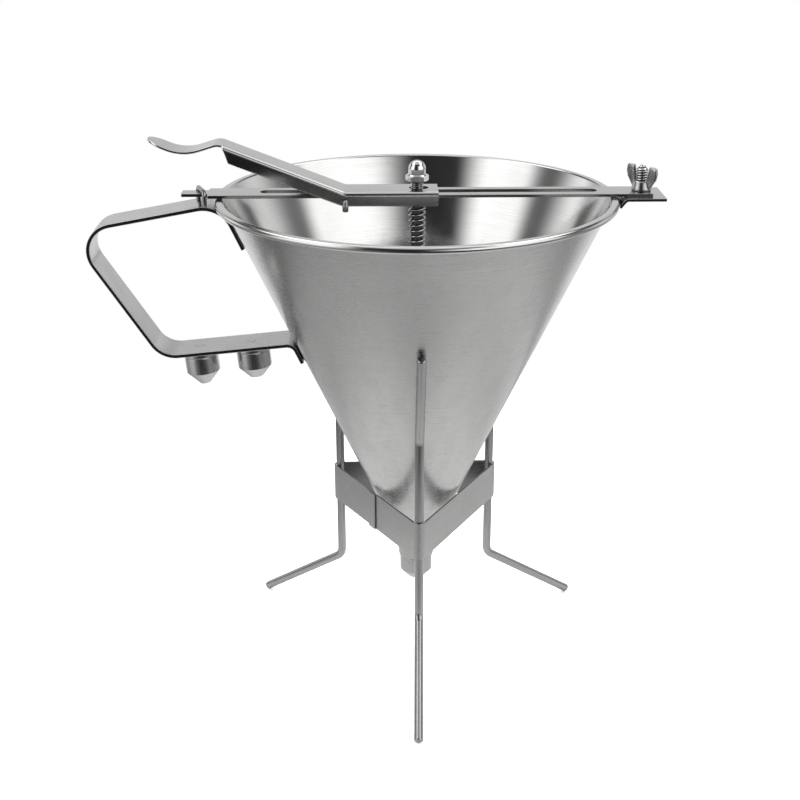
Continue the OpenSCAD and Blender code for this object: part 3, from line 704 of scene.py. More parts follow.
@dataclass(frozen=True)
class Steel:
    """One finish of the steel.

    Attributes:
        name: Name of the material.
        tone: Grey of the clean metal.
        rough: Roughness at the lines' dark and light places.
        swing: How much the lines darken the metal.
        grain: The way the lines run.
        stretch: How much longer the lines are than wide.
        fineness: Lines per millimetre.
        relief: Height of the lines in millimetres.
        smudge: How much smudges darken and dull the metal.
        scratch: How much scratches show.
        spread: Stretch of the highlights across the lines.
        warmth: Small shift of the grey towards yellow.
    """

    name: str
    tone: float
    rough: Pair
    swing: float = 0.12
    grain: Grain = Grain.ALONG
    stretch: float = 40.0
    fineness: float = 1.2
    relief: float = 0.002
    smudge: float = 0.06
    scratch: float = 0.1
    spread: float = 0.0
    warmth: float = 0.006

    def colour(self, share: float) -> tuple[float, float, float, float]:
        """The metal's grey times a share, slightly warm."""
        grey = self.tone * share
        return grey * (1 + self.warmth), grey, grey * (1 - self.warmth), 1.0

    def material(self, effects: Effects) -> bpy.types.Material:
        """Builds the material.

        Args:
            effects: The shared node groups.

        Returns:
            A metal whose grey, roughness and relief follow polishing lines, smudges and scratches.
        """
        made = bpy.data.materials.new(self.name)
        sketch = Tree.of(made)
        quarter = 0.25
        place = sketch.add("ShaderNodeUVMap", uv_map=FLAT).outputs[0]
        short = 1.0 / self.stretch
        scale = (short, 1.0, 1.0) if self.grain is Grain.ALONG else (1.0, short, 1.0)
        lines = sketch.use(effects.lines, Vector=sketch.scaled(place, scale), Fineness=self.fineness)
        marks = sketch.use(effects.marks, Vector=place, Fineness=SMUDGE_FINENESS)
        tone, smudge, scratch = lines.outputs["Tone"], marks.outputs["Smudge"], marks.outputs["Scratch"]
        clean = sketch.mix(tone, self.colour(1 - self.swing), self.colour(1.0))
        dull = sketch.math("MULTIPLY", smudge, self.smudge)
        worn = sketch.math("MULTIPLY_ADD", scratch, self.scratch, dull)
        rough = sketch.remap(tone, (0.0, 1.0), self.rough[::-1], smooth=False)
        height = sketch.math("SUBTRACT", lines.outputs["Height"], scratch)
        relief = {"Strength": 1.0, "Distance": self.relief * MM, "Height": height}
        bump = sketch.add("ShaderNodeBump", relief)
        shader = sketch.add("ShaderNodeBsdfPrincipled", {
            "Metallic": 1.0,
            "Base Color": sketch.mix(worn, clean, self.colour(DULL_SHARE)),
            "Roughness": sketch.math("MULTIPLY_ADD", worn, DULL_ROUGHNESS, rough),
            "Normal": bump.outputs[0],
        })
        if self.spread:
            tangent = sketch.add("ShaderNodeTangent", direction_type="UV_MAP", uv_map=FLAT)
            sketch.feed(shader.inputs["Anisotropic"], self.spread)
            sketch.feed(shader.inputs["Anisotropic Rotation"], quarter if self.grain is Grain.ALONG else 0.0)
            sketch.feed(shader.inputs["Tangent"], tangent.outputs[0])
        sketch.add("ShaderNodeOutputMaterial", {"Surface": shader.outputs[0]})
        return made


# Polishing lines that several finishes share: on the cone, on turned pieces, on the band and on the lever
BRUSHED = {"grain": Grain.AROUND, "stretch": 140, "fineness": 2.4, "relief": 0.0012}
LATHE = {"grain": Grain.AROUND, "stretch": 80, "fineness": 3.0}
BANDED = {"swing": 0.12, "stretch": 50, "spread": 0.3, "relief": 0.0005}
PRESSED = {"stretch": 60, "spread": 0.25, "relief": 0.0005}


class Finish(Enum):
    """The finishes seen on the part."""

    CONE_OUTSIDE = Steel("cone_outside", 0.52, (0.20, 0.30), swing=0.08, spread=0.6, **BRUSHED)
    CONE_INSIDE = Steel("cone_inside", 0.62, (0.09, 0.16), swing=0.12, spread=0.5, **BRUSHED)
    RIM = Steel("rim_bead", 0.54, (0.10, 0.16), grain=Grain.AROUND, swing=0.08, relief=0.0004)
    STRIP = Steel("strip_face", 0.52, (0.20, 0.28), swing=0.08, stretch=70, spread=0.3, relief=0.0003)
    # Cut edges and hole walls: duller sheared metal, darkened further as painted shade
    EDGE_AND_SHADE = Steel("sheared_edge_and_painted_shade", 0.20, (0.14, 0.26), swing=0.3, stretch=8, fineness=2.0, relief=0.001)
    BAND = Steel("band_face", 0.45, (0.24, 0.34), **BANDED)
    # The band's inner side: the band's metal, darker as painted shade
    BAND_INSIDE_SHADE = Steel("band_inside_painted_shade", 0.27, (0.24, 0.34), **BANDED)
    # The flanges' outer faces: the lever's metal, darker as painted shade
    FLANGE_SHADE = Steel("lever_flange_painted_shade", 0.33, (0.12, 0.18), swing=0.16, **PRESSED)
    LEVER = Steel("lever_face", 0.44, (0.12, 0.18), swing=0.10, **PRESSED)
    # Folds and the flanges' lower edges: bright as a painted highlight
    FOLD_HIGHLIGHT = Steel("fold_painted_highlight", 0.80, (0.08, 0.14), swing=0.08, stretch=60, relief=0.0003)
    WIRE = Steel("drawn_wire", 0.385, (0.18, 0.28), swing=0.22, stretch=80, fineness=2.6, relief=0.0015)
    TURNED = Steel("turned_face", 0.58, (0.14, 0.24), swing=0.16, relief=0.0015, **LATHE)
    # The outlet and the fitted nozzle: turned metal darker than turned_face, as painted shade under the
    # funnel
    FITTED_SHADED = Steel("fitted_face_painted_shade", 0.41, (0.18, 0.28), swing=0.16, relief=0.0015, **LATHE)
    TIP = Steel("nozzle_tip", 0.54, (0.30, 0.42), swing=0.14, relief=0.0015, **LATHE)
    # The rod: painted very dark, as shade inside the spring
    ROD_SHADED = Steel("ground_rod_painted_shade", 0.14, (0.12, 0.2), swing=0.1, **LATHE)
    SCREW = Steel("thread_crest", 0.62, (0.12, 0.2), swing=0.1, **LATHE)
    # Thread roots: dark as grime and as painted shade in the grooves
    ROOT_GRIME_AND_SHADE = Steel("thread_root_grime_and_shade", 0.10, (0.3, 0.4), swing=0.2, **LATHE)
    PIN = Steel("bent_pin", 0.26, (0.22, 0.3), swing=0.2, stretch=60, fineness=2.6)
    POLISHED = Steel("polished_nut", 0.60, (0.04, 0.08), swing=0.05, smudge=0.05, relief=0.0003)
    SPRING = Steel("spring_wire", 0.46, (0.06, 0.12), swing=0.1, stretch=60, fineness=2.0, relief=0.0005)
    CAST = Steel("cast_nut", 0.44, (0.14, 0.26), swing=0.3, stretch=1.5, fineness=1.4, relief=0.02)
    # Weld beads at the legs: real beads, their bright finish a painted highlight
    WELD_HIGHLIGHT = Steel("weld_bead_painted_highlight", 0.72, (0.08, 0.16), swing=0.1, stretch=1.5, fineness=1.4)


class Paint:
    """Makes each finish's material once."""

    def __init__(self) -> None:
        """Builds the shared effects."""
        self.effects = Effects()
        self.made: dict[Finish, bpy.types.Material] = {}

    def of(self, finish: Finish) -> bpy.types.Material:
        """The finish's material, made on its first use."""
        if finish not in self.made:
            self.made[finish] = finish.value.material(self.effects)
        return self.made[finish]


def put(name: str, data: bpy.types.ID) -> bpy.types.Object:
    """Adds an object to the scene.

    Args:
        name: Name of the object.
        data: Its mesh or camera.

    Returns:
        The object, at the origin.
    """
    made = bpy.data.objects.new(name, data)
    bpy.context.scene.collection.objects.link(made)
    return made


def cut(piece: bpy.types.Object, holes: Sequence[Surface]) -> None:
    """Takes closed surfaces out of a piece, whose mesh becomes the result.

    Args:
        piece: The piece.
        holes: Surfaces whose insides are cut away.
    """
    cutters = []
    for number, hole in enumerate(holes):
        cutters.append(put(f"cutter_{number}", hole.mesh("cutter")))
        taken = piece.modifiers.new(f"hole_{number}", "BOOLEAN")
        taken.object, taken.operation, taken.solver = cutters[-1], "DIFFERENCE", "EXACT"
    graph = bpy.context.evaluated_depsgraph_get()
    whole = piece.data
    piece.data = bpy.data.meshes.new_from_object(piece.evaluated_get(graph))
    piece.modifiers.clear()
    bpy.data.meshes.remove(whole)
    for cutter in cutters:
        bpy.data.meshes.remove(cutter.data)


@dataclass(frozen=True)
class Role:
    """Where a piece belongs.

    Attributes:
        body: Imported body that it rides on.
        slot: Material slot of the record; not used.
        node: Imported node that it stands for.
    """

    body: str
    slot: Slot
    node: str


@dataclass
class Maker:
    """Turns surfaces into pieces of the scene.

    Attributes:
        paint: The materials.
        sharp_angle: Least angle in degrees at which an edge is sharp.
        bevel: Width of a broken edge in millimetres.
        bevel_steps: Faces across a broken edge.
    """

    paint: Paint
    sharp_angle: float = 40.0
    bevel: float = 0.12
    bevel_steps: int = 2

    def piece(self, name: str, surface: Surface, role: Role, *finishes: Finish,
              holes: Sequence[Surface] = (), bevel: bool = False) -> bpy.types.Object:
        """Adds a piece to the scene.

        Args:
            name: Name of the piece.
            surface: Its shape.
            role: Where it belongs.
            finishes: Finish of each of its material slots.
            holes: Surfaces that are cut out of it.
            bevel: Whether sharp edges are broken.

        Returns:
            The piece.
        """
        made = put(name, surface.mesh(name))
        for finish in finishes:
            made.data.materials.append(self.paint.of(finish))
        if holes:
            cut(made, holes)
        made.data.set_sharp_from_angle(angle=math.radians(self.sharp_angle))
        if bevel:
            breaker = made.modifiers.new("broken_edges", "BEVEL")
            breaker.width, breaker.segments = self.bevel * MM, self.bevel_steps
            breaker.limit_method, breaker.angle_limit = "ANGLE", math.radians(self.sharp_angle)
        weight = made.modifiers.new("flat_faces", "WEIGHTED_NORMAL")
        weight.keep_sharp = not bevel
        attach(made, role.body)
        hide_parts(role.node)
        log.info("%s: %d faces on %s", name, len(made.data.polygons), role.body)
        return made


def soft_loop(corners: Sequence[Sequence[float]], edge: float) -> Floats:
    """A closed profile with every corner eased by one radius."""
    return rounded(corners, edge, steps=3, closed=True)


def lean(degrees: float) -> Floats:
    """Matrix that turns X towards Z by an angle, about the Y axis."""
    c, s = math.cos(math.radians(degrees)), math.sin(math.radians(degrees))
    return np.array([[c, 0, -s], [0, 1, 0], [s, 0, c]])


def spin(degrees: float) -> Floats:
    """Matrix that turns X towards Y by an angle, about the Z axis."""
    c, s = math.cos(math.radians(degrees)), math.sin(math.radians(degrees))
    return np.array([[c, -s, 0], [s, c, 0], [0, 0, 1]])


def spare_pose(name: str) -> tuple[Floats, Floats]:
    """Where a spare nozzle hangs: the strip's underside is zero and the nozzle points down.

    Args:
        name: Name of the place.

    Returns:
        Turn and place of the spot, from the axis of the nozzle's joint.
    """
    axis = joint(f"nozzle_{name}_turn")
    slope = math.degrees(math.atan2(axis["axis"][0], -axis["axis"][2]))
    return lean(slope), np.asarray(axis["pos_m"]) / MM


@dataclass
class Funnel:
    """The cone with its rolled rim, and the turned outlet under it.

    Attributes:
        half_angle: Angle between the cone's wall and its axis, in degrees.
        sheet: Thickness of the sheet.
        bead: Radius of the rolled rim.
        overhang: How far the rim stands out from the cone's outer face.
        lip: Radius at which the sheet turns outwards into the rim.
        curl_end: Angle at which the roll ends, in degrees.
        bore: Radius of the outlet.
        spigot: Outer radius of the spigots that carry the nozzles.
        spigot_h: Length of these spigots.
        chamfer: Bevel of their lower edge.
        collar_h: Height of the collar.
        collar_taper: How much narrower the collar is below.
        edge: Radius of the outlet's edges.
        body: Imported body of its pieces.
        box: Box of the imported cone.
    """

    half_angle: float = 24.6
    sheet: float = 0.8
    bead: float = 1.6
    overhang: float = 4.1
    lip: float = 1.2
    curl_end: float = -150.0
    body: str = "funnel"
    bore: float = 5.0
    spigot: float = 6.75
    spigot_h: float = 7.0
    chamfer: float = 0.6
    collar_h: float = 11.1
    collar_taper: float = 0.7
    edge: float = 0.35
    box: NodeBox = field(default_factory=lambda: NodeBox("funnel_cone"))

    @property
    def slope(self) -> float:
        """Growth of the cone's radius for each millimetre of height."""
        return math.tan(math.radians(self.half_angle))

    @property
    def rim(self) -> float:
        """Radius of the rim."""
        return self.box.high[0]

    @property
    def top(self) -> float:
        """Height of the rim's top."""
        return self.box.high[2]

    def outside(self, z: float | Floats) -> float | Floats:
        """Radius of the cone's outer face at a height."""
        return self.rim - self.overhang - (self.top - self.bead - z) * self.slope

    def inside(self, z: float | Floats) -> float | Floats:
        """Radius of the cone's inner face at a height."""
        return self.outside(z) - self.sheet / math.cos(math.radians(self.half_angle))

    def cone(self) -> Surface:
        """The sheet cone: up its inner wall, over the lip, round the bead and down its outer wall.

        Returns:
            The surface turned from it, with the outside in slot 0, the inside in 1 and the rim in 2.
        """
        low, rows = self.box.low[2], 16
        out_face, in_face, rim_face = 0, 1, 2
        lip_z = self.top - self.lip
        centre = (self.inside(lip_z) + self.lip / math.cos(math.radians(self.half_angle)), lip_z)
        curl = arc((self.rim - self.bead, self.top - self.bead), self.bead, 90, self.curl_end, steps=20)
        lip = arc(centre, self.lip, 180 - self.half_angle, 90, steps=8)
        up = np.linspace(low, lip[0, 1], rows)[:-1]
        down = np.linspace(curl[-1, 1], low, rows)
        wall_in = np.column_stack([self.inside(up), up])
        wall_out = np.column_stack([self.outside(down), down])
        slots = np.repeat([in_face, rim_face, out_face], [len(wall_in), len(lip) + len(curl), len(wall_out)])
        return revolve(np.concatenate([wall_in, lip, curl, wall_out]), around=240, row_slots=slots)

    def collar(self) -> Surface:
        """The turned outlet: a collar that tapers below, a spigot, the bore and the slanted valve seat.

        Returns:
            The surface turned from that eased profile.
        """
        box = NodeBox("outlet_collar")
        top, low, wide = box.high[2], box.low[2], box.high[0]
        shoulder, mouth = low + self.spigot_h, self.inside(top)
        return revolve(soft_loop([
            (mouth, top), (wide, top), (wide, top - self.collar_h / 2), (wide - self.collar_taper, shoulder),
            (self.spigot, shoulder), (self.spigot, low + self.chamfer), (self.spigot - self.chamfer, low),
            (self.bore, low), (self.bore, top - (mouth - self.bore)),
        ], self.edge), around=96)

    def build(self, maker: Maker) -> None:
        """Makes the cone and the outlet.

        Args:
            maker: Makes the pieces.
        """
        maker.piece("cone", self.cone(), Role(self.body, Slot.SHEET, "funnel_cone"),
                    Finish.CONE_OUTSIDE, Finish.CONE_INSIDE, Finish.RIM)
        # The outlet's darker turned finish is painted shade under the funnel
        maker.piece("outlet", self.collar(), Role(self.body, Slot.TURNED, "outlet_collar"),
                    Finish.FITTED_SHADED)


@dataclass
class Stand:
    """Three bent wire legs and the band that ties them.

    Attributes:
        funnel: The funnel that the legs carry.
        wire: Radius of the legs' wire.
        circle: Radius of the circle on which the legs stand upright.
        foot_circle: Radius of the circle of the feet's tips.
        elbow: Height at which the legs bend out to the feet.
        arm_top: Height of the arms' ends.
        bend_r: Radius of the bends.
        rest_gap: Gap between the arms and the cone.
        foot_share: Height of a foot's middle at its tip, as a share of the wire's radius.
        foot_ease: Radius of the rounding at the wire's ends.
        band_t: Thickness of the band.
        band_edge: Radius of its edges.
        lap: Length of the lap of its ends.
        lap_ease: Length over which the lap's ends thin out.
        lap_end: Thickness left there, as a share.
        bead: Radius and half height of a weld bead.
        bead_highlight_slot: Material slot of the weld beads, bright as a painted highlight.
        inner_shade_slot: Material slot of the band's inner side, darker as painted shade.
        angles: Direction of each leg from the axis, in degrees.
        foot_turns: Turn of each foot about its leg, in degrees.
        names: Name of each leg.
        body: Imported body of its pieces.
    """

    funnel: Funnel
    wire: float = 2.25
    circle: float = 46.3
    foot_circle: float = 100.3
    elbow: float = 38.4
    arm_top: float = 186.7
    bend_r: float = 7.0
    rest_gap: float = 0.3
    foot_share: float = 0.66
    foot_ease: float = 0.9
    band_t: float = 1.0
    band_edge: float = 0.2
    lap: float = 6.0
    lap_ease: float = 0.5
    lap_end: float = 0.55
    bead: Pair = (0.7, 0.8)
    bead_highlight_slot: int = 2
    inner_shade_slot: int = 3
    angles: tuple[float, ...] = (-90.0, 30.0, 150.0)
    foot_turns: tuple[float, ...] = (-2.0, -5.5, -4.5)
    names: tuple[str, ...] = ("front", "right", "left")
    body: str = "stand"

    @property
    def half_side(self) -> float:
        """Angle from a leg to the middle of the band's side, in degrees."""
        return 180.0 / len(self.angles)

    def leg(self, angle: float, foot_turn: float) -> Surface:
        """One leg: a tube from the foot up over the elbow and the arm's bend, flat where it meets the table.

        Args:
            angle: Direction of the leg from the axis, in degrees.
            foot_turn: Turn of the foot about the upright, in degrees.

        Returns:
            The closed tube.
        """
        off = (self.wire + self.rest_gap) / math.cos(math.radians(self.funnel.half_angle))
        reach = self.funnel.outside(self.arm_top) + off
        corner = self.arm_top - (reach - self.circle) / self.funnel.slope
        line = rounded([(self.foot_circle, self.foot_share * self.wire), (self.circle, self.elbow),
                        (self.circle, corner), (reach, self.arm_top)], self.bend_r, steps=14)
        out, low = line[:, 0] - self.circle, line[:, 1] < corner / 2
        turn = np.where(low, math.radians(foot_turn), 0.0)
        path = np.stack([self.circle + out * np.cos(turn), out * np.sin(turn), line[:, 1]], axis=-1)
        made = tube(path, (0, 1, 0), self.wire, self.foot_ease)
        made.points[:, 2] = np.maximum(made.points[:, 2], 0.0)
        return made.placed(spin(angle))

    def wrap(self, off: float) -> Floats:
        """A triangle with round corners about the legs.

        Args:
            off: Distance from the legs' middles.

        Returns:
            Its points in X and Y.
        """
        turns = np.radians(np.asarray(self.angles))
        middles = self.circle * np.stack([np.cos(turns), np.sin(turns)], axis=-1)
        corners = [arc(middle, off, angle - self.half_side, angle + self.half_side, steps=14)
                   for middle, angle in zip(middles, self.angles)]
        return np.concatenate(corners)

    def band(self) -> Surface:
        """The band: a flat section carried round the legs, with a short lap of its two ends outside it.

        Returns:
            The surface, with its cut edges in slot 1, the weld beads in slot 2 and its inner side in slot 3,
            darker as painted shade.
        """
        box = NodeBox("stand_band")
        height, middle = box.high[2] - box.low[2], box.middle[2]
        inner = self.wire + SNUG
        section, slots = sheet_section(height, self.band_t, self.band_edge)
        path = np.insert(self.wrap(inner), 2, middle, axis=1)
        loop_slots = slots.copy()
        # The section's third quarter ends where its lower side starts, which here faces the legs; that inner
        # side is darker as painted shade
        loop_slots[3 * len(slots) // 4 - 1] = self.inner_shade_slot
        loop = sweep(path, (0, 0, 1), section, closed=True, column_slots=loop_slots)
        out, reach = self.circle / 2 + inner + self.band_t, self.lap / 2
        stations = (-reach, self.lap_ease - reach, reach - self.lap_ease, reach)
        ends = np.array([[out, station, middle] for station in stations])
        shapes = np.stack([section * (1.0, share) for share in (self.lap_end, 1.0, 1.0, self.lap_end)])
        flap = sweep(ends, (0, 0, 1), shapes, column_slots=slots, end_slot=CUT_SLOT)
        flap = flap.placed(spin(self.angles[0] - self.half_side))
        return Surface.join(loop, flap, self.welds(box.high[2]))

    def welds(self, top: float) -> Surface:
        """Two weld beads beside each leg on the band's upper edge, each turned from a stretched half circle.

        Args:
            top: Height of the band's upper edge.

        Returns:
            The beads in slot 2, bright as a painted highlight.
        """
        half = arc((0, 0), 1.0, -90, 90, steps=10) * self.bead
        half[[0, -1], 0] = 0.0
        ball = revolve(half, around=20, closed=False).in_slot(self.bead_highlight_slot)
        side = math.sqrt((self.wire + SNUG) ** 2 - (self.wire / 2) ** 2)
        low = top - self.bead[1] / 2
        pair = [ball.moved(self.circle + self.wire / 2, sign * side, low) for sign in (-1, 1)]
        return Surface.join(*[bead.placed(spin(angle)) for angle in self.angles for bead in pair])

    def build(self, maker: Maker) -> None:
        """Makes the legs and the band.

        Args:
            maker: Makes the pieces.
        """
        for angle, turn, name in zip(self.angles, self.foot_turns, self.names):
            role = Role(self.body, Slot.WIRE, f"stand_leg_{name}")
            maker.piece(f"leg_{name}", self.leg(angle, turn), role, Finish.WIRE)
        maker.piece("band", self.band(), Role(self.body, Slot.STRIP, "stand_band"),
                    Finish.BAND, Finish.EDGE_AND_SHADE, Finish.WELD_HIGHLIGHT, Finish.BAND_INSIDE_SHADE, bevel=True)


@dataclass
class Handle:
    """The bent strip with the wire eye on top, and the studs that carry the spare nozzles.

    Attributes:
        funnel: The funnel that the handle is welded to.
        width: Width of the strip.
        thickness: Thickness of the strip.
        edge: Radius of the strip's edges and the studs' edges.
        root_drop: Depth of the upper bend below the rim's top.
        upper_tab: Length in height of the tab that lies on the cone above.
        knee: Distance out from the rim and depth of the upper outer corner.
        heel: The same of the lower outer corner.
        low_drop: Depth of the lower bend.
        lower_tab: Length in height of the lower tab.
        radii: Radius of each bend.
        eye_wire: Radius of the eye's wire.
        eye_half: Half of the eye's width.
        eye_turn: Turn of the eye about its upright, in degrees.
        eye_ease: Rounding of its wire's ends.
        rivet: Radius of the studs' riveted ends.
        rivet_head: How far these stand out of the strip.
        stud_base: Radius of the studs' base rings.
        stud_base_h: Height of these rings.
        spares: Names of the places where spare nozzles hang.
        body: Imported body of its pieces.
    """

    funnel: Funnel
    width: float = 22.0
    thickness: float = 1.8
    edge: float = 0.3
    root_drop: float = 1.4
    upper_tab: float = 22.5
    knee: Pair = (70.75, 15.1)
    heel: Pair = (29.4, 80.2)
    low_drop: float = 74.2
    lower_tab: float = 9.0
    radii: tuple[float, ...] = (20.0, 14.0, 14.0, 3.8)
    eye_wire: float = 1.1
    eye_half: float = 6.1
    eye_turn: float = 20.0
    eye_ease: float = 0.3
    rivet: float = 2.0
    rivet_head: float = 0.12
    stud_base: float = 8.8
    stud_base_h: float = 2.4
    spares: tuple[str, ...] = ("outer", "inner")
    body: str = "funnel"

    def off_cone(self, drop: float, off: float) -> Pair:
        """A point on the handle's side that stands off the cone squarely, at a depth below the rim's top."""
        z = self.funnel.top - drop
        return -self.funnel.outside(z) - off / math.cos(math.radians(self.funnel.half_angle)), z

    def beyond(self, place: Pair) -> Pair:
        """A point beyond the rim on the handle's side, from its distance out and its depth."""
        return -self.funnel.rim - place[0], self.funnel.top - place[1]

    def path(self) -> Floats:
        """The strip's path, from the upper tab over the knee and the heel to the lower tab.

        Returns:
            Its points in X and Z.
        """
        low_off = SNUG + self.thickness
        return rounded([
            self.off_cone(self.root_drop + self.upper_tab, SNUG), self.off_cone(self.root_drop, SNUG),
            self.beyond(self.knee), self.beyond(self.heel),
            self.off_cone(self.low_drop, low_off), self.off_cone(self.low_drop + self.lower_tab, low_off),
        ], self.radii, steps=14)

    def eye(self) -> Surface:
        """The eye: a tube bent over the bar's tongue, with both feet on the strip.

        Returns:
            The closed tube.
        """
        box, half = NodeBox("handle_eye"), self.eye_half
        foot, top = box.low[2], box.high[2] - self.eye_wire
        line = rounded([(-half, foot), (-half, top), (half, top), (half, foot)], 2 * self.eye_wire, steps=10)
        path = np.insert(line, 0, 0.0, axis=1)
        made = tube(path, (1, 0, 0), self.eye_wire, self.eye_ease)
        return made.placed(spin(self.eye_turn), (box.middle[0], 0, 0))

    def stud(self, name: str) -> Surface:
        """A stud under the strip: a base ring, a spigot for the nozzle and a riveted end in the strip.

        Args:
            name: The place where it hangs.

        Returns:
            The surface turned from that eased profile.
        """
        spigot, chamfer = self.funnel.spigot, self.funnel.chamfer
        foot, head = -self.stud_base_h - self.funnel.spigot_h, self.thickness + self.rivet_head
        profile = rounded([(0, foot), (spigot - chamfer, foot), (spigot, foot + chamfer),
                           (spigot, -self.stud_base_h), (self.stud_base, -self.stud_base_h),
                           (self.stud_base, 0), (self.rivet, 0), (self.rivet, self.thickness),
                           (0, head)], self.edge, steps=3)[::-1]
        return revolve(profile, around=64, closed=False).placed(*spare_pose(name))

    def build(self, maker: Maker) -> None:
        """Makes the strip, the eye and the studs.

        Args:
            maker: Makes the pieces.
        """
        room = 2 * self.thickness
        hole = drill(circle((0, 0), self.rivet + SNUG, sides=40), -room, 2 * room)
        holes = [hole.placed(*spare_pose(name)) for name in self.spares]
        maker.piece("handle", strip(self.path(), self.width, self.thickness, self.edge),
                    Role(self.body, Slot.STRIP, "handle_strip"), Finish.STRIP, Finish.EDGE_AND_SHADE, holes=holes,
                    bevel=True)
        maker.piece("eye", self.eye(), Role(self.body, Slot.WIRE, "handle_eye"), Finish.WIRE)
        for name in self.spares:
            role = Role(self.body, Slot.TURNED, f"nozzle_stud_{name}")
            maker.piece(f"stud_{name}", self.stud(name), role, Finish.TURNED)


@dataclass
class Nozzles:
    """The fitted nozzle and the two spare ones.

    Attributes:
        handle: The handle that the spare ones hang from.
        radius: Outer radius.
        body_h: Length of the straight part.
        tip_angle: Angle between the tip's wall and the axis, in degrees.
        lip: Width of the mouth's edge.
        socket: Radius of the socket.
        socket_h: Depth of the socket.
        bore: Radius of the fitted nozzle's mouth.
        spare_bores: The same of each spare nozzle.
        seat_gap: Gap between a spare nozzle and its stud's base.
        edge: Radius of the edges.
    """

    handle: Handle
    radius: float = 8.5
    body_h: float = 8.5
    tip_angle: float = 41.0
    lip: float = 0.6
    socket: float = 6.8
    socket_h: float = 7.3
    bore: float = 4.0
    spare_bores: tuple[float, ...] = (2.0, 3.0)
    seat_gap: float = 0.1
    edge: float = 0.4

    def nozzle(self, bore: float) -> Surface:
        """One nozzle below its seat: a socket, a short round body and a cone down to its mouth.

        Args:
            bore: Radius of the mouth.

        Returns:
            The surface turned from the eased profile, with the tip in slot 1.
        """
        tip = -self.body_h - (self.radius - bore - self.lip) / math.tan(math.radians(self.tip_angle))
        profile = soft_loop([
            (self.socket, 0), (self.radius, 0), (self.radius, -self.body_h), (bore + self.lip, tip),
            (bore, tip), (bore, -self.socket_h), (self.socket, -self.socket_h),
        ], self.edge)
        return revolve(profile, around=72, row_slots=(profile[:, 1] <= -self.body_h).astype(np.int64))

    def build(self, maker: Maker) -> None:
        """Makes the three nozzles.

        Args:
            maker: Makes the pieces.
        """
        fitted = self.nozzle(self.bore).moved(0, 0, NodeBox("nozzle_fitted").high[2])
        role = Role("nozzle_fitted", Slot.TURNED, "nozzle_fitted")
        # The fitted nozzle's darker turned finish is painted shade under the funnel
        maker.piece("nozzle", fitted, role, Finish.FITTED_SHADED, Finish.FITTED_SHADED)
        for name, bore in zip(self.handle.spares, self.spare_bores):
            spare = self.nozzle(bore).moved(0, 0, -self.handle.stud_base_h - self.seat_gap)
            role = Role(f"nozzle_{name}", Slot.TURNED, f"nozzle_spare_{name}")
            maker.piece(f"spare_{name}", spare.placed(*spare_pose(name)), role, Finish.TURNED, Finish.TIP)


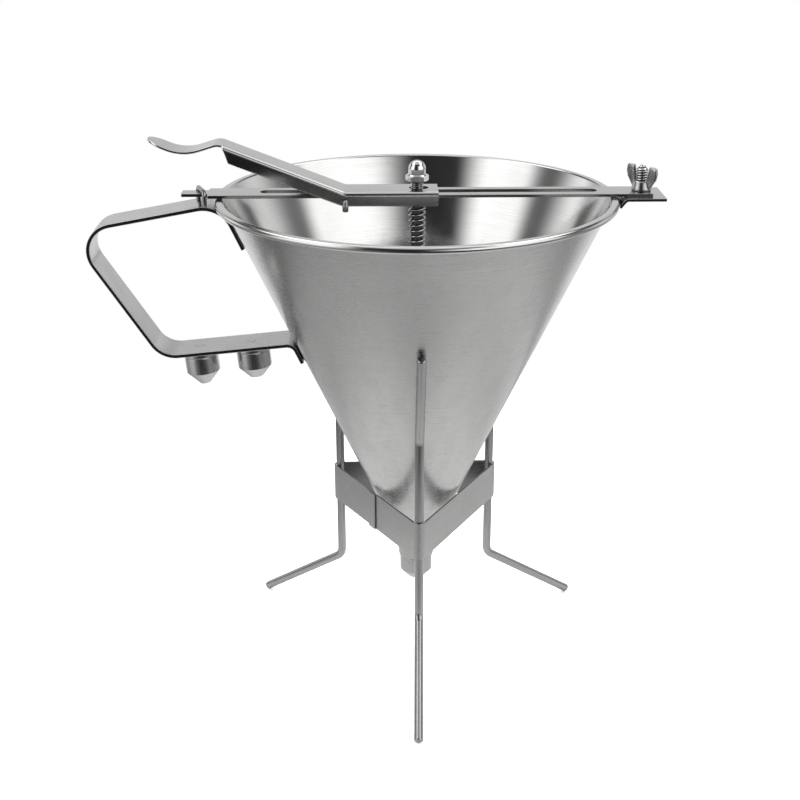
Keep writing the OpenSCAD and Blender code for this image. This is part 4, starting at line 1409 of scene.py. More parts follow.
@dataclass
class CrossBar:
    """The slotted bar over the rim, the bracket under its end, and the stud with its wing nut.

    Attributes:
        funnel: The funnel whose rim the bracket hooks under.
        tongue: Width of the tongue in the handle's eye.
        shoulder_gap: Distance from the eye to the shoulder.
        slot_w: Width of the slot.
        slot_from_eye: Distance from the eye to the slot.
        slot_to_stud: Distance from the slot to the stud.
        edge: Radius of the long edges of bar and bracket.
        corner_r: Radius of the bar's corners.
        stud_r: Radius of the stud.
        stud_play: Play of the stud in the bar's hole.
        bracket_w: Width of the bracket.
        bracket_t: Thickness of the bracket.
        fold: Distance of the bracket's fold from the rim, and how far its folded edge goes in and down.
        thread: Pitch and depth of the stud's thread, and the bevel of its end.
        hub: Lower radius, upper radius and height of the wing nut's hub.
        hub_base: Height of the hub's straight foot.
        hub_edge: Radius of the hub's edges.
        ear: Corners of an ear, by distance from the axis and height.
        ear_r: Radius of these corners.
        ear_soft: How far an ear's face is drawn in at its outline.
        wing_t: Thickness of an ear.
        wing_turn: Direction of the ears, in degrees.
        body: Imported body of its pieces.
    """

    funnel: Funnel
    tongue: float = 8.4
    shoulder_gap: float = 3.6
    slot_w: float = 6.5
    slot_from_eye: float = 28.4
    slot_to_stud: float = 21.7
    edge: float = 0.25
    corner_r: float = 0.6
    stud_r: float = 2.9
    stud_play: float = 0.3
    bracket_w: float = 24.5
    bracket_t: float = 1.5
    fold: tuple[float, float, float] = (2.9, 2.7, 3.4)
    thread: tuple[float, float, float] = (1.25, 0.5, 0.7)
    hub: tuple[float, float, float] = (4.8, 4.0, 4.8)
    hub_base: float = 1.0
    hub_edge: float = 0.6
    ear: tuple[Pair, ...] = (
        (3.2, 0.7), (5.0, 0.7), (8.5, 5.6), (9.25, 8.6), (9.0, 11.4), (7.4, 12.0), (4.5, 12.0), (3.6, 7.0))
    ear_r: float = 0.9
    ear_soft: float = 0.8
    wing_t: float = 2.0
    wing_turn: float = -50.0
    body: str = "funnel"

    def bar(self) -> Surface:
        """The bar: a flat section carried along X, narrow at the tongue and full beyond the shoulder.

        A point's distance from the middle is the bar's half width there, less its inset in the section.

        Returns:
            The bar without its holes, with its cut edges in slot 1.
        """
        box, r = NodeBox("crossbar"), self.corner_r
        corner_steps, step, nominal = 5, 0.02, 2.0
        half, tongue = box.high[1], self.tongue / 2
        shoulder = NodeBox("handle_eye").middle[0] + self.shoulder_gap
        turn = np.linspace(0.0, math.pi / 2, corner_steps + 1)
        rise, run = r * np.sin(turn), r * (1 - np.cos(turn))
        x = np.concatenate([box.low[0] + run, [shoulder - step], shoulder + run, box.high[0] - r + rise])
        w = np.concatenate([tongue - r + rise, [tongue], half - r + rise, half - r + r * np.cos(turn)])
        section, slots = sheet_section(nominal, box.high[2] - box.low[2], self.edge)
        inset = nominal / 2 - np.abs(section[:, 0])
        sections = np.repeat(section[None], len(x), axis=0)
        sections[..., 0] = np.sign(section[:, 0]) * (w[:, None] - inset)
        path = np.column_stack([x, np.zeros(len(x)), np.full(len(x), box.low[2])])
        return sweep(path, (0, 1, 0), sections, column_slots=slots, end_slot=CUT_SLOT)

    def build_bar(self, maker: Maker) -> None:
        """Makes the bar with its slot and its stud hole.

        Args:
            maker: Makes the pieces.
        """
        box, end = NodeBox("crossbar"), self.slot_w / 2
        eye, stud = NodeBox("handle_eye").middle[0], NodeBox("clamp_stud").middle[0]
        slot = stadium(eye + self.slot_from_eye + end, stud - self.slot_to_stud - end, self.slot_w)
        hole = circle((stud, 0), self.stud_r + self.stud_play, sides=40)
        low, high = box.low[2] - self.bracket_t, box.high[2] + self.bracket_t
        maker.piece("bar", self.bar(), Role(self.body, Slot.STRIP, "crossbar"), Finish.LEVER, Finish.EDGE_AND_SHADE,
                    holes=[drill(outline, low, high) for outline in (slot, hole)], bevel=True)

    def build_clamp(self, maker: Maker) -> None:
        """Makes the bracket, the threaded stud and the wing nut.

        Args:
            maker: Makes the pieces.
        """
        under = NodeBox("crossbar").low[2] - self.bracket_t
        box = NodeBox("clamp_stud")
        stud, low, high = box.middle[0], box.low[2], box.high[2]
        out, lip_in, drop = self.fold
        out += self.funnel.rim
        corners = [(out - lip_in, under - drop), (out, under), (NodeBox("clamp_bracket").high[0], under)]
        path = rounded(corners, self.bracket_t, steps=8)
        hole = drill(circle((stud, 0), self.stud_r + SNUG, sides=40), under - drop, under + drop)
        maker.piece("bracket", strip(path, self.bracket_w, self.bracket_t, self.edge),
                    Role(self.body, Slot.STRIP, "clamp_bracket"), Finish.LEVER, Finish.EDGE_AND_SHADE, holes=[hole],
                    bevel=True)
        cut_part = (low + 2 * self.bracket_t, high + self.thread[0])
        screw = threaded(self.stud_r, low, high, cut_part, *self.thread).moved(stud, 0, 0)
        # The thread's roots take a dark finish: grime and painted shade in the grooves
        maker.piece("clamp_screw", screw, Role(self.body, Slot.TURNED, "clamp_stud"),
                    Finish.SCREW, Finish.ROOT_GRIME_AND_SHADE, Finish.SCREW)
        nut = self.wing_nut().placed(spin(self.wing_turn), (stud, 0, NodeBox("wing_nut").low[2]))
        maker.piece("wing_nut_cast", nut, Role("wing_nut", Slot.TURNED, "wing_nut"), Finish.CAST)

    def wing_nut(self) -> Surface:
        """The wing nut: a hub turned from an eased profile, and two ears as slabs with rounded faces.

        Through an ear's thickness the outline shrinks towards its middle as one less a cosine.

        Returns:
            The hub and both ears.
        """
        foot, crown, height = self.hub
        bore, edge, rows = self.stud_r + SNUG, self.hub_edge, 9
        hub = revolve(soft_loop([(bore, 0), (foot, 0), (foot, self.hub_base), (crown, height - edge),
                                 (crown - edge, height), (bore, height)], edge), around=64)
        outline = rounded(self.ear, self.ear_r, steps=8, closed=True)
        middle = outline.mean(axis=0)
        turn = np.linspace(-math.pi / 2, math.pi / 2, rows)
        nearest = np.linalg.norm(outline - middle, axis=1).min()
        shrink = 1 - self.ear_soft * (1 - np.cos(turn)) / nearest
        sections = middle + (outline - middle) * shrink[:, None, None]
        path = np.column_stack([np.zeros(rows), -self.wing_t / 2 * np.sin(turn), np.zeros(rows)])
        ear = sweep(path, (1, 0, 0), sections, Ends.CENTRE)
        return Surface.join(hub, ear, ear.placed(spin(180)))

    def build(self, maker: Maker) -> None:
        """Makes the bar and its clamp."""
        self.build_bar(maker)
        self.build_clamp(maker)


@dataclass
class Lever:
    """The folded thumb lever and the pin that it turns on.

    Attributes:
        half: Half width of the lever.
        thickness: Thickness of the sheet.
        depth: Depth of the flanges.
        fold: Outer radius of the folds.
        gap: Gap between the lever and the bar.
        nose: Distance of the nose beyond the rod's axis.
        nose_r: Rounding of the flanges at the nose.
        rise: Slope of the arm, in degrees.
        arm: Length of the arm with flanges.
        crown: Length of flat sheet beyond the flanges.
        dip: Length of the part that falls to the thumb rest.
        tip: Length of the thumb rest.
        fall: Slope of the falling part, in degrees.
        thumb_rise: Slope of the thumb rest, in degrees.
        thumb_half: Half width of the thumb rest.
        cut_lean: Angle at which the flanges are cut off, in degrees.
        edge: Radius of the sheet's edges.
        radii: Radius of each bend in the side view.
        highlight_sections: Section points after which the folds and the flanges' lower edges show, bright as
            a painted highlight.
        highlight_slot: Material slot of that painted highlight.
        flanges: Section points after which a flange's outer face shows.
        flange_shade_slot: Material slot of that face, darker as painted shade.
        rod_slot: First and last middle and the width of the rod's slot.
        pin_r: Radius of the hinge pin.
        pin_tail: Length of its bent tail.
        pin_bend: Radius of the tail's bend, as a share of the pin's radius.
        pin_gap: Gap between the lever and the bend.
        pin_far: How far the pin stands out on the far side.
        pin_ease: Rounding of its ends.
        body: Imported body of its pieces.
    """

    half: float = 9.6
    thickness: float = 1.2
    depth: float = 7.0
    fold: float = 2.0
    gap: float = 0.5
    nose: float = 10.0
    nose_r: float = 1.6
    rise: float = 21.2
    arm: float = 60.5
    crown: float = 3.4
    dip: float = 17.8
    tip: float = 17.9
    fall: float = 17.3
    thumb_rise: float = 22.9
    thumb_half: float = 8.2
    cut_lean: float = 40.0
    edge: float = 0.45
    radii: tuple[float, ...] = (2.5, 8.0, 22.0)
    highlight_sections: tuple[int, ...] = (0, 1, 2, 4, 5, 6, 12, 13, 14, 16, 17, 18)
    highlight_slot: int = 2
    flanges: tuple[int, ...] = (3, 15)
    flange_shade_slot: int = 3
    rod_slot: tuple[float, float, float] = (-0.4, 2.0, 7.0)
    pin_r: float = 1.45
    pin_tail: float = 4.2
    pin_bend: float = 1.4
    pin_gap: float = 0.3
    pin_far: float = 1.2
    pin_ease: float = 0.55
    body: str = "lever"

    @property
    def web(self) -> float:
        """Height of the lever's upper face over the bar."""
        return NodeBox("crossbar").high[2] + self.gap + self.thickness

    @property
    def pivot(self) -> Floats:
        """Middle of the hinge pin."""
        return np.asarray(joint("lever_press")["pos_m"]) / MM

    def path(self) -> Floats:
        """Side view of the sheet's upper face, from the nose to the tip of the thumb rest.

        Returns:
            Its points in X and Z.
        """
        points = [np.array([self.nose, self.web]), np.array([self.pivot[0], self.web])]
        runs = ((self.arm + self.crown, self.rise), (self.dip, -self.fall), (self.tip, self.thumb_rise))
        for length, angle in runs:
            way = math.radians(angle)
            points.append(points[-1] + length * np.array([-math.cos(way), math.sin(way)]))
        return rounded(points, self.radii, steps=16)

    def sections(self, half: Floats, depth: Floats, fold: Floats) -> Floats:
        """Channel sections: the outer side from one flange's foot over the web to the other, then back.

        Args:
            half: Half width at each station.
            depth: Depth of the flanges at each station.
            fold: Outer radius of the folds at each station.

        Returns:
            One section for each station.
        """
        t, foot_steps, fold_steps, least = self.thickness, 3, 5, 0.02
        foot = np.radians(np.linspace(270, 180, foot_steps + 1))
        knee = np.radians(np.linspace(180, 90, fold_steps + 1))
        half, depth, fold = half[:, None], depth[:, None], fold[:, None]
        ease = np.minimum(self.edge, half / 4)
        notch = ease * np.clip((depth - t) / t, 0.0, 1.0)
        inner, wall = np.maximum(fold - t, least), np.minimum(t, half / 2)
        outer_y = np.hstack([-half + ease + ease * np.cos(foot), -half + fold + fold * np.cos(knee)])
        outer_z = np.hstack([-depth + ease + ease * np.sin(foot), -fold + fold * np.sin(knee)])
        inner_y = np.hstack([-half + wall - notch - notch * np.cos(foot),
                             -half + wall + inner + inner * np.cos(knee)])
        inner_z = np.hstack([-depth + notch + notch * np.sin(foot), -t - inner + inner * np.sin(knee)])
        halves = (np.stack([outer_y, outer_z], axis=-1),
                  np.stack([np.minimum(inner_y, 0.0), np.maximum(inner_z, -depth)], axis=-1))
        mirror = np.array([-1.0, 1.0])
        outer, under = (np.concatenate([side, side[:, ::-1] * mirror], axis=1) for side in halves)
        return np.concatenate([outer, under[:, ::-1]], axis=1)

    def sheet(self) -> Surface:
        """The lever: channel sections carried along its side view, flat and round-ended at the thumb rest.

        Beyond the flanges depth, fold and half width ease over to those of the flat sheet. At the nose the
        flanges' depth, and at the tip the half width, follow a circle.

        Returns:
            The lever without its holes, with its folds in slot 2, a painted highlight, and the flanges'
            faces in slot 3, darker as painted shade.
        """
        path = self.path()
        length = np.linalg.norm(np.diff(path, axis=0), axis=1).sum()
        row_gap, cut_before, cut_beyond, cut_rows, tip_rows, nose_step = 0.6, 5, 2, 24, 28, 3
        ease_length, flat_fold, least_fold = 1.4, 0.35, 0.01
        turn = np.linspace(0.0, math.pi / 2, tip_rows)
        fold_end = self.nose - self.pivot[0] + self.arm
        round_part = length - self.thumb_half * (1 - np.sin(turn))
        s = np.unique(np.concatenate([
            self.nose_r * (1 - np.cos(turn[::nose_step])), np.arange(self.nose_r, round_part[0], row_gap),
            np.linspace(fold_end - cut_before, fold_end + cut_beyond, cut_rows), round_part]))
        down = np.clip((fold_end - s) / math.tan(math.radians(self.cut_lean)), 0.0, self.depth - self.fold)
        ahead = np.maximum(self.nose_r - s, 0.0)
        rounding = self.nose_r - np.sqrt(np.maximum(self.nose_r ** 2 - ahead ** 2, 0.0))
        settle = smooth_step((s - fold_end) / ease_length)
        depth = (self.fold + down - rounding) * (1 - settle) + self.thickness * settle
        near = np.clip((length - s) / self.thumb_half, 0.0, 1.0)
        half = self.half + (self.thumb_half - self.half) * settle
        half = half * np.sqrt(np.maximum(1 - (1 - near) ** 2, 0.0))
        fold = self.fold * (1 - settle) + flat_fold * settle
        fold = np.minimum(fold, np.maximum(half / 3, least_fold))
        spots = np.insert(resampled(path, s), 1, 0.0, axis=1)
        shape = self.sections(half, depth, fold)
        slots = np.zeros(shape.shape[1], dtype=np.int64)
        slots[list(self.highlight_sections)] = self.highlight_slot
        slots[list(self.flanges)] = self.flange_shade_slot
        return sweep(spots, (0, -1, 0), shape, column_slots=slots)

    def pin(self) -> Surface:
        """The hinge pin: a tube across the lever whose near end is bent down.

        Returns:
            The closed tube.
        """
        bend_r = self.pin_bend * self.pin_r
        near = self.half + self.pin_gap + bend_r
        corners = [(self.half + self.pin_far, 0.0), (-near, 0.0), (-near, -self.pin_tail)]
        line = rounded(corners, bend_r, steps=12)
        path = np.insert(line, 0, 0.0, axis=1)
        return tube(path, (1, 0, 0), self.pin_r, self.pin_ease).moved(*self.pivot)

    def build(self, maker: Maker) -> None:
        """Makes the lever and the pin.

        Args:
            maker: Makes the pieces.
        """
        slot = drill(stadium(*self.rod_slot), self.web - 2 * self.thickness, self.web + self.thickness)
        bore = drill(circle((0, 0), self.pin_r + SNUG, sides=32), -2 * self.half, 2 * self.half)
        upright = np.array([[1.0, 0, 0], [0, 0, -1.0], [0, 1.0, 0]])
        # The lever's folds take a painted highlight, its flanges' faces painted shade
        maker.piece("lever_sheet", self.sheet(), Role(self.body, Slot.STRIP, "thumb_lever"),
                    Finish.LEVER, Finish.EDGE_AND_SHADE, Finish.FOLD_HIGHLIGHT, Finish.FLANGE_SHADE,
                    holes=[slot, bore.placed(upright, self.pivot)])
        maker.piece("pivot_pin", self.pin(), Role("funnel", Slot.WIRE, "hinge_pin"), Finish.PIN)


@dataclass
class Piston:
    """The rod with its cap nut, return spring, washer, cross pin and valve plug.

    Attributes:
        rod_r: Radius of the rod.
        thread: Pitch and depth of its thread, and the bevel of its upper end.
        thread_below: How far this thread goes on below the bar.
        flats: Width of the nut across its flats.
        hex_h: Height of its six-sided part.
        dome_r: Radius of its dome.
        dome_h: Height of the dome over the six-sided part.
        neck: Size of the hollow under the dome.
        corner_off: How much is taken off the six corners.
        socket_h: Depth of the nut's socket.
        wire: Radius of the spring's wire.
        spring_r: Radius of the spring to the wire's middle.
        curls: Number of the spring's curls.
        dead: Number of close curls at each end.
        washer_r: Radius of the washer.
        washer_edge: Radius of its edges.
        pin_r: Radius of the cross pin.
        pin_half: Half length of the cross pin.
        plug_nose: Radius of the plug's flat end.
        plug_rim_h: Height of its rim.
        plug_wall: Wall of its neck about the rod.
        plug_neck_h: Height of the neck above the rim.
        plug_floor: Thickness of the plug under the rod.
        plug_edge: Radius of its edges.
        body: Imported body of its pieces.
    """

    rod_r: float = 3.0
    thread: tuple[float, float, float] = (1.0, 0.55, 0.6)
    thread_below: float = 1.0
    flats: float = 10.0
    hex_h: float = 2.9
    dome_r: float = 4.3
    dome_h: float = 7.0
    neck: float = 0.35
    corner_off: float = 0.12
    socket_h: float = 6.95
    wire: float = 0.5
    spring_r: float = 3.85
    curls: int = 24
    dead: float = 1.2
    washer_r: float = 5.0
    washer_edge: float = 0.2
    pin_r: float = 1.0
    pin_half: float = 4.7
    plug_nose: float = 3.9757
    plug_rim_h: float = 1.2
    plug_wall: float = 1.2
    plug_neck_h: float = 5.0
    plug_floor: float = 1.45
    plug_edge: float = 0.3
    body: str = "piston"

    @property
    def socket(self) -> float:
        """Radius of a bore that fits on the rod."""
        return self.rod_r + SNUG

    def nut(self, low: float) -> Surface:
        """The cap nut: a six-sided prism whose corners a cone takes off, under a dome.

        The radius at an angle is the least of the flat's distance over the cosine of the angle from its
        middle, and of the turned cone at that height.

        Args:
            low: Height of its underside.

        Returns:
            The closed surface with the thread's socket below.
        """
        around, ramp_rows, dome_rows, flat_off = 144, 7, 14, 0.15
        apothem, corner = self.flats / 2, self.flats / math.sqrt(3)
        slant = (corner - apothem) / 2
        angles = np.linspace(0.0, 2 * math.pi, around, endpoint=False)
        off = np.mod(angles, math.pi / 3) - math.pi / 6
        six = np.minimum(apothem / np.cos(off), corner - self.corner_off)
        ramp = np.linspace(0.0, slant, ramp_rows)
        heights = np.concatenate([ramp, self.hex_h - ramp[::-1]])
        to_end = np.minimum(heights, self.hex_h - heights)
        cone = apothem - flat_off + to_end / slant * (corner - apothem + flat_off)
        hexagon = np.minimum(six[None, :], cone[:, None])
        rise = np.radians(np.linspace(0.0, 90.0, dome_rows))
        dome_low = self.hex_h + self.dome_h - self.dome_r
        dome = np.column_stack([self.dome_r * np.cos(rise), dome_low + self.dome_r * np.sin(rise)])
        inner = np.array([[0.0, self.socket_h], [self.socket, self.socket_h], [self.socket, 0.0]])
        hollow = [[self.dome_r + self.neck, self.hex_h], [self.dome_r, self.hex_h + self.neck]]
        outer = np.concatenate([hollow, dome])
        below, above = (np.repeat(part[:, :1], around, axis=1) for part in (inner, outer))
        z = np.concatenate([inner[:, 1], heights, outer[:, 1]]) + low
        return Surface.grid(turned(np.concatenate([below, hexagon, above]), z[:, None], angles),
                            join_columns=True)

    def spring(self, low: float, high: float) -> Surface:
        """The return spring: a wire on a helix whose end curls lie close and are ground flat.

        Args:
            low: Height of its lower end.
            high: Height of its upper end.

        Returns:
            The tube.
        """
        steps = 30
        turns = np.linspace(0.0, self.curls, self.curls * steps + 1)
        rise = high - low - 2 * self.wire
        end = 2 * self.wire * self.dead
        z = np.interp(turns, [0, self.dead, self.curls - self.dead, self.curls], [0, end, rise - end, rise])
        angles = 2 * math.pi * turns
        helix = self.spring_r * np.column_stack([np.cos(angles), np.sin(angles)])
        path = np.column_stack([helix, low + self.wire + z])
        made = tube(path, (0, 0, 1), self.wire, self.wire / 2, sides=12)
        made.points[:, 2] = np.clip(made.points[:, 2], low, high)
        return made

    def washer(self, low: float, high: float) -> Surface:
        """A flat ring with eased edges, between two heights."""
        corners = [(self.socket, low), (self.washer_r, low), (self.washer_r, high), (self.socket, high)]
        return revolve(soft_loop(corners, self.washer_edge), around=64)

    def plug(self) -> Surface:
        """The valve plug: a cone that meets the seat, a rim and a neck about the rod.

        Returns:
            The surface turned from that eased profile.
        """
        box = NodeBox("valve_plug")
        low, high, wide = box.low[2], box.high[2], box.high[0]
        rim, floor, neck = high - self.plug_neck_h, low + self.plug_floor, self.rod_r + self.plug_wall
        profile = rounded([
            (0, low), (self.plug_nose, low), (wide, rim - self.plug_rim_h), (wide, rim),
            (neck, rim + wide - neck), (neck, high), (self.socket, high), (self.socket, floor), (0, floor),
        ], self.plug_edge, steps=3)
        return revolve(profile, around=72, closed=False)

    def build(self, maker: Maker) -> None:
        """Makes the piston's pieces and the spring, which gets a mesh of its own.

        Args:
            maker: Makes the pieces.
        """
        rod, ring, bar = NodeBox("piston_rod"), NodeBox("spring_washer"), NodeBox("crossbar")
        cut_part = (bar.low[2] - self.thread_below, rod.high[2])
        shaft = threaded(self.rod_r, rod.low[2], rod.high[2], cut_part, *self.thread)
        # The rod is painted very dark as shade inside the spring
        maker.piece("rod", shaft, Role(self.body, Slot.TURNED, "piston_rod"),
                    Finish.ROD_SHADED, Finish.ROOT_GRIME_AND_SHADE, Finish.SCREW)
        maker.piece("nut", self.nut(NodeBox("cap_nut").low[2]), Role(self.body, Slot.POLISHED, "cap_nut"),
                    Finish.POLISHED)
        maker.piece("washer", self.washer(ring.low[2], ring.high[2]),
                    Role(self.body, Slot.TURNED, "spring_washer"), Finish.TURNED)
        ends = np.array([[-self.pin_half, 0, 0], [0, 0, 0], [self.pin_half, 0, 0]])
        pin = tube(ends, (0, 0, 1), self.pin_r, self.pin_r / 3).moved(0, 0, NodeBox("cross_pin").middle[2])
        maker.piece("cross_pin_wire", pin, Role(self.body, Slot.TURNED, "cross_pin"), Finish.WIRE)
        maker.piece("plug", self.plug(), Role(self.body, Slot.TURNED, "valve_plug"), Finish.TURNED)
        low, high = ring.high[2], bar.low[2]
        coil = maker.piece("spring", self.spring(low, high), Role("funnel", Slot.POLISHED, "return_spring"),
                           Finish.SPRING)
        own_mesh(coil)


@dataclass
class Studio:
    """Camera, soft studio surround and pale floor.

    Attributes:
        lens: Focal length in millimetres.
        sensor: Width of the sensor in millimetres.
        nearest: Distance at which the camera begins to see.
        place: Where the camera stands.
        pitch: Its turn up from straight down, in degrees.
        heading: Its turn about the upright, in degrees.
        roll: Its turn about its own axis, in radians.
        shift: Shift of the picture, as a share of its width.
        peak: Brightness that the shares of the world's colours refer to.
        top_light: Brightness straight above.
        top_edge: Heights over which that begins.
        boxes: Brightness of light boxes, cards and gaps around the object, by angle from the camera's side.
        column: Brightness of the wall behind, the gap over it and the light overhead, by height.
        column_low: Angles over which the wall behind takes over from the boxes.
        column_high: The same for what is over that wall.
        column_rise: Heights between these two.
        column_drop: How far these angles come forward over the boxes.
        boxes_top: Heights over which the boxes end.
        over_boxes: Brightness above the boxes.
        horizon: Heights over which the boxes take over from what is below.
        low_belt: Brightness below the horizon, by angle.
        floor_drop: Height of the floor, just under the feet.
        floor_radius: Radius of the floor.
        floor_fade: Share of that radius at which the floor begins to fade.
        floor_seen: Brightness of the floor to the camera.
        floor_glow: Brightness of the floor in reflections, by distance from the axis: painted light and
            shade.
        floor_tilt: Growth of that brightness for each metre to the right.
        tilt_edge: Distances over which that tilt begins.
        front_edge: Distances in front of the axis over which that brightness falls.
        front_share: Brightness left there, as a share.
        patch: Place in front, fineness across and reach of a soft dark patch in it, a painted shadow.
        shadow_patch_share: Brightness left in its middle, as a share.
        behind: Distances behind the axis over which another brightness takes over.
        behind_glow: That brightness.
    """

    lens: float = 61.29
    sensor: float = 36.0
    nearest: float = 0.01
    place: tuple[float, float, float] = (-0.0226, -0.6485, 0.3992)
    pitch: float = 68.14
    heading: float = -2.0
    roll: float = 0.0032
    shift: float = -0.0206
    peak: float = 2.4
    top_light: float = 0.8
    top_edge: Pair = (0.88, 0.96)
    boxes: tuple[Pair, ...] = (
        (-144, 0.5), (-128, 1.35), (-101, 0.18), (-96, 0.2), (-79, 1.65), (-54, 1.8), (-30, 0.04),
        (-1, 0.03), (36, 1.8), (77, 1.65), (93, 0.24), (97, 0.24), (122, 1.0), (150, 0.35))
    column: tuple[Pair, ...] = (
        (-0.04, 0.42), (0.03, 0.92), (0.39, 0.80), (0.46, 0.12), (0.61, 0.12), (0.68, 2.3), (0.86, 2.3),
        (0.94, 0.8))
    column_low: Pair = (132.0, 158.0)
    column_high: Pair = (82.0, 100.0)
    column_rise: Pair = (0.38, 0.46)
    column_drop: float = 36.0
    boxes_top: Pair = (0.64, 0.72)
    over_boxes: float = 0.05
    horizon: Pair = (-0.10, -0.02)
    low_belt: tuple[Pair, ...] = (
        (-180, 1.0), (-150, 1.0), (-122, 0.4), (-60, 0.8), (-30, 0.2), (-8, 0.03), (20, 0.03), (60, 0.3),
        (122, 0.4), (150, 1.0), (180, 1.0))
    floor_drop: float = -0.0002
    floor_radius: float = 0.5
    floor_fade: float = 0.55
    floor_seen: float = 1.9
    floor_glow: tuple[Pair, ...] = (
        (0.0, 1.17), (0.1, 1.13), (0.13, 0.94), (0.17, 0.71), (0.25, 0.70), (0.27, 0.63), (0.3, 0.35),
        (0.4, 0.2))
    floor_tilt: float = 0.6
    tilt_edge: Pair = (0.12, 0.2)
    front_edge: Pair = (-0.36, -0.24)
    front_share: float = 0.15
    patch: tuple[float, float, float] = (-0.142, 0.35, 0.045)
    shadow_patch_share: float = 0.55
    behind: Pair = (0.21, 0.29)
    behind_glow: float = 0.6

    def camera(self) -> None:
        """Puts the camera where the photograph was taken from."""
        lens = bpy.data.cameras.new("camera")
        lens.lens, lens.sensor_width, lens.shift_x = self.lens, self.sensor, self.shift
        lens.clip_start = self.nearest
        seen = put("camera", lens)
        turn = (Matrix.Rotation(math.radians(self.heading), 4, "Z")
                @ Matrix.Rotation(math.radians(self.pitch), 4, "X") @ Matrix.Rotation(self.roll, 4, "Z"))
        seen.matrix_world = Matrix.Translation(self.place) @ turn
        bpy.context.scene.camera = seen

    def ring(self, sketch: Tree, share: Socket, stops: Sequence[Pair]) -> Socket:
        """Brightness by direction round the object, from stops of an angle in degrees and a brightness."""
        return sketch.ramp(share, [((angle + 180) / 360, light / self.peak) for angle, light in stops])

    def surround(self) -> None:
        """Builds the world: light boxes left and right, a dark gap at the camera, white behind and above."""
        world = bpy.data.worlds.new("studio")
        bpy.context.scene.world = world
        sketch = Tree.of(world)
        way = sketch.add("ShaderNodeTexCoord").outputs["Generated"]
        x, y, z = sketch.add("ShaderNodeSeparateXYZ", {0: way}).outputs
        angle = sketch.math("ARCTAN2", x, sketch.math("MULTIPLY", y, -1.0))
        share = sketch.remap(angle, (-math.pi, math.pi), (0.0, 1.0), smooth=False)
        belt = self.ring(sketch, share, self.boxes)
        level = sketch.remap(z, self.horizon, (0.0, 1.0))
        dark = grey_colour(self.over_boxes / self.peak)
        high = sketch.remap(z, self.boxes_top, (0.0, 1.0))
        sides = sketch.mix(high, sketch.mix(level, self.ring(sketch, share, self.low_belt), belt), dark)
        drop = sketch.remap(z, self.boxes_top, (0.0, self.column_drop))
        edges = [sketch.math("SUBTRACT", sketch.remap(z, self.column_rise, pair), drop)
                 for pair in zip(self.column_low, self.column_high)]
        aside = sketch.math("DEGREES", sketch.math("ABSOLUTE", angle))
        behind = sketch.math("MULTIPLY", sketch.remap(aside, tuple(edges), (0.0, 1.0)), level)
        height = sketch.remap(z, (-1.0, 1.0), (0.0, 1.0), smooth=False)
        wall = sketch.ramp(height, [((place + 1) / 2, light / self.peak) for place, light in self.column])
        top = grey_colour(self.top_light / self.peak)
        above = sketch.remap(z, self.top_edge, (0.0, 1.0))
        light = sketch.mix(above, sketch.mix(behind, sides, wall), top)
        glow = sketch.add("ShaderNodeBackground", {"Color": light, "Strength": self.peak})
        paper = sketch.add("ShaderNodeBackground", {"Color": grey_colour(1.0)})
        seen = sketch.add("ShaderNodeLightPath").outputs["Is Camera Ray"]
        sketch.add("ShaderNodeOutputWorld", {"Surface": sketch.shaders(seen, glow, paper)})

    def floor(self) -> None:
        """Lays a pale round floor whose edge fades, brighter to the camera than in reflections, where it
        carries painted light and shade.
        """
        around = 96
        rim = circle((0, 0), self.floor_radius, around)
        points = np.insert(rim, 2, self.floor_drop, axis=1)
        mesh = bpy.data.meshes.new("floor")
        mesh.from_pydata(points.tolist(), [], [list(range(around))])
        floor = put("floor", mesh)
        made = bpy.data.materials.new("pale_floor")
        sketch = Tree.of(made)
        seen = sketch.add("ShaderNodeLightPath").outputs["Is Camera Ray"]
        spot = sketch.add("ShaderNodeTexCoord").outputs["Object"]
        far = sketch.add("ShaderNodeVectorMath", {0: spot}, operation="LENGTH").outputs["Value"]
        share = sketch.math("DIVIDE", far, self.floor_radius)
        # In reflections the floor carries painted light and shade: brighter near the axis and to the right,
        # darker in front, a painted shadow patch there, and another brightness behind
        near = sketch.ramp(share, [(place / self.floor_radius, light) for place, light in self.floor_glow])
        x, y, _ = sketch.add("ShaderNodeSeparateXYZ", {0: spot}).outputs
        tilt = sketch.remap(far, self.tilt_edge, (0.0, self.floor_tilt))
        leaning = sketch.math("MULTIPLY_ADD", x, tilt, near)
        ahead = sketch.remap(y, self.front_edge, (self.front_share, 1.0))
        # A painted shadow: a soft dark patch on the floor in front
        off = sketch.math("SUBTRACT", y, self.patch[0])
        wide = sketch.math("MULTIPLY", x, self.patch[1])
        squares = sketch.math("MULTIPLY_ADD", wide, wide, sketch.math("MULTIPLY", off, off))
        patch = sketch.remap(sketch.math("SQRT", squares), (0.0, self.patch[2]), (self.shadow_patch_share, 1.0))
        shaded = sketch.math("MULTIPLY", leaning, sketch.math("MULTIPLY", ahead, patch))
        glow = sketch.remap(y, self.behind, (shaded, self.behind_glow))
        colour = sketch.mix(seen, glow, grey_colour(self.floor_seen))
        shader = sketch.add("ShaderNodeBsdfDiffuse", {"Color": colour})
        clear = sketch.add("ShaderNodeBsdfTransparent")
        fade = sketch.remap(share, (self.floor_fade, 1.0), (0.0, 1.0))
        sketch.add("ShaderNodeOutputMaterial", {"Surface": sketch.shaders(fade, shader, clear)})
        mesh.materials.append(made)

    def build(self) -> None:
        """Sets up the camera, the light and the floor."""
        self.camera()
        self.surround()
        self.floor()
        bpy.context.scene.view_settings.view_transform = "Standard"


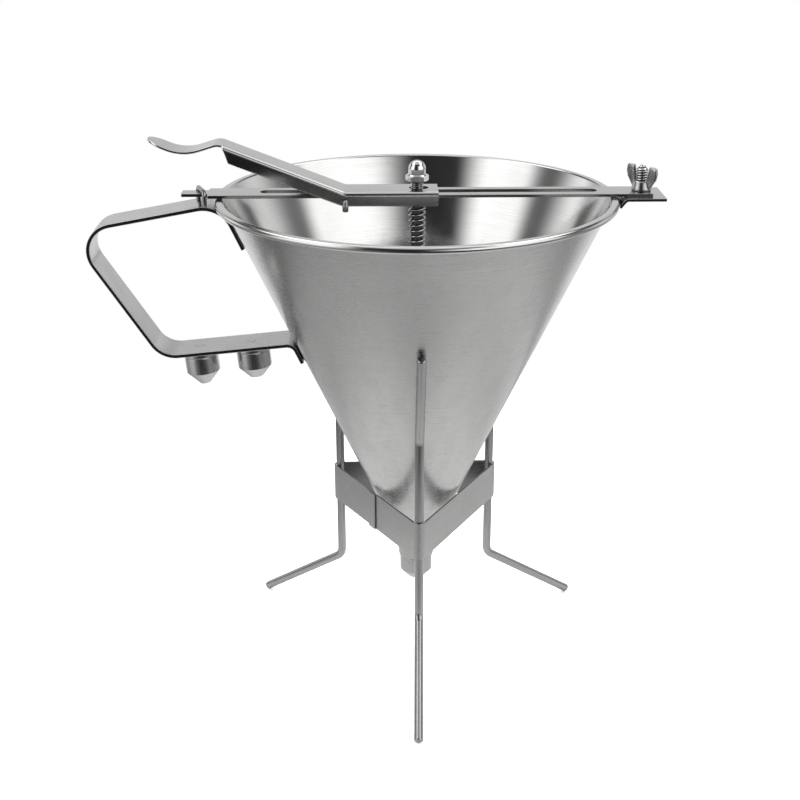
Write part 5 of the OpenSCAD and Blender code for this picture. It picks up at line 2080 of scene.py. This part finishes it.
def dress_saddle(paint: Paint) -> None:
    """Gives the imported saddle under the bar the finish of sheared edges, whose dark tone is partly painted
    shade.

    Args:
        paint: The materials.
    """
    saddle = frame["nodes"]["hinge_saddle"]
    saddle.data.materials.clear()
    saddle.data.materials.append(paint.of(Finish.EDGE_AND_SHADE))


def main() -> None:
    """Builds every piece and the studio."""
    logging.basicConfig(level=logging.INFO, format="%(message)s")
    paint = Paint()
    maker = Maker(paint)
    funnel = Funnel()
    handle = Handle(funnel)
    for group in (funnel, Stand(funnel), handle, Nozzles(handle), CrossBar(funnel), Lever(), Piston()):
        group.build(maker)
    dress_saddle(paint)
    Studio().build()


if __name__ == "__main__":
    main()
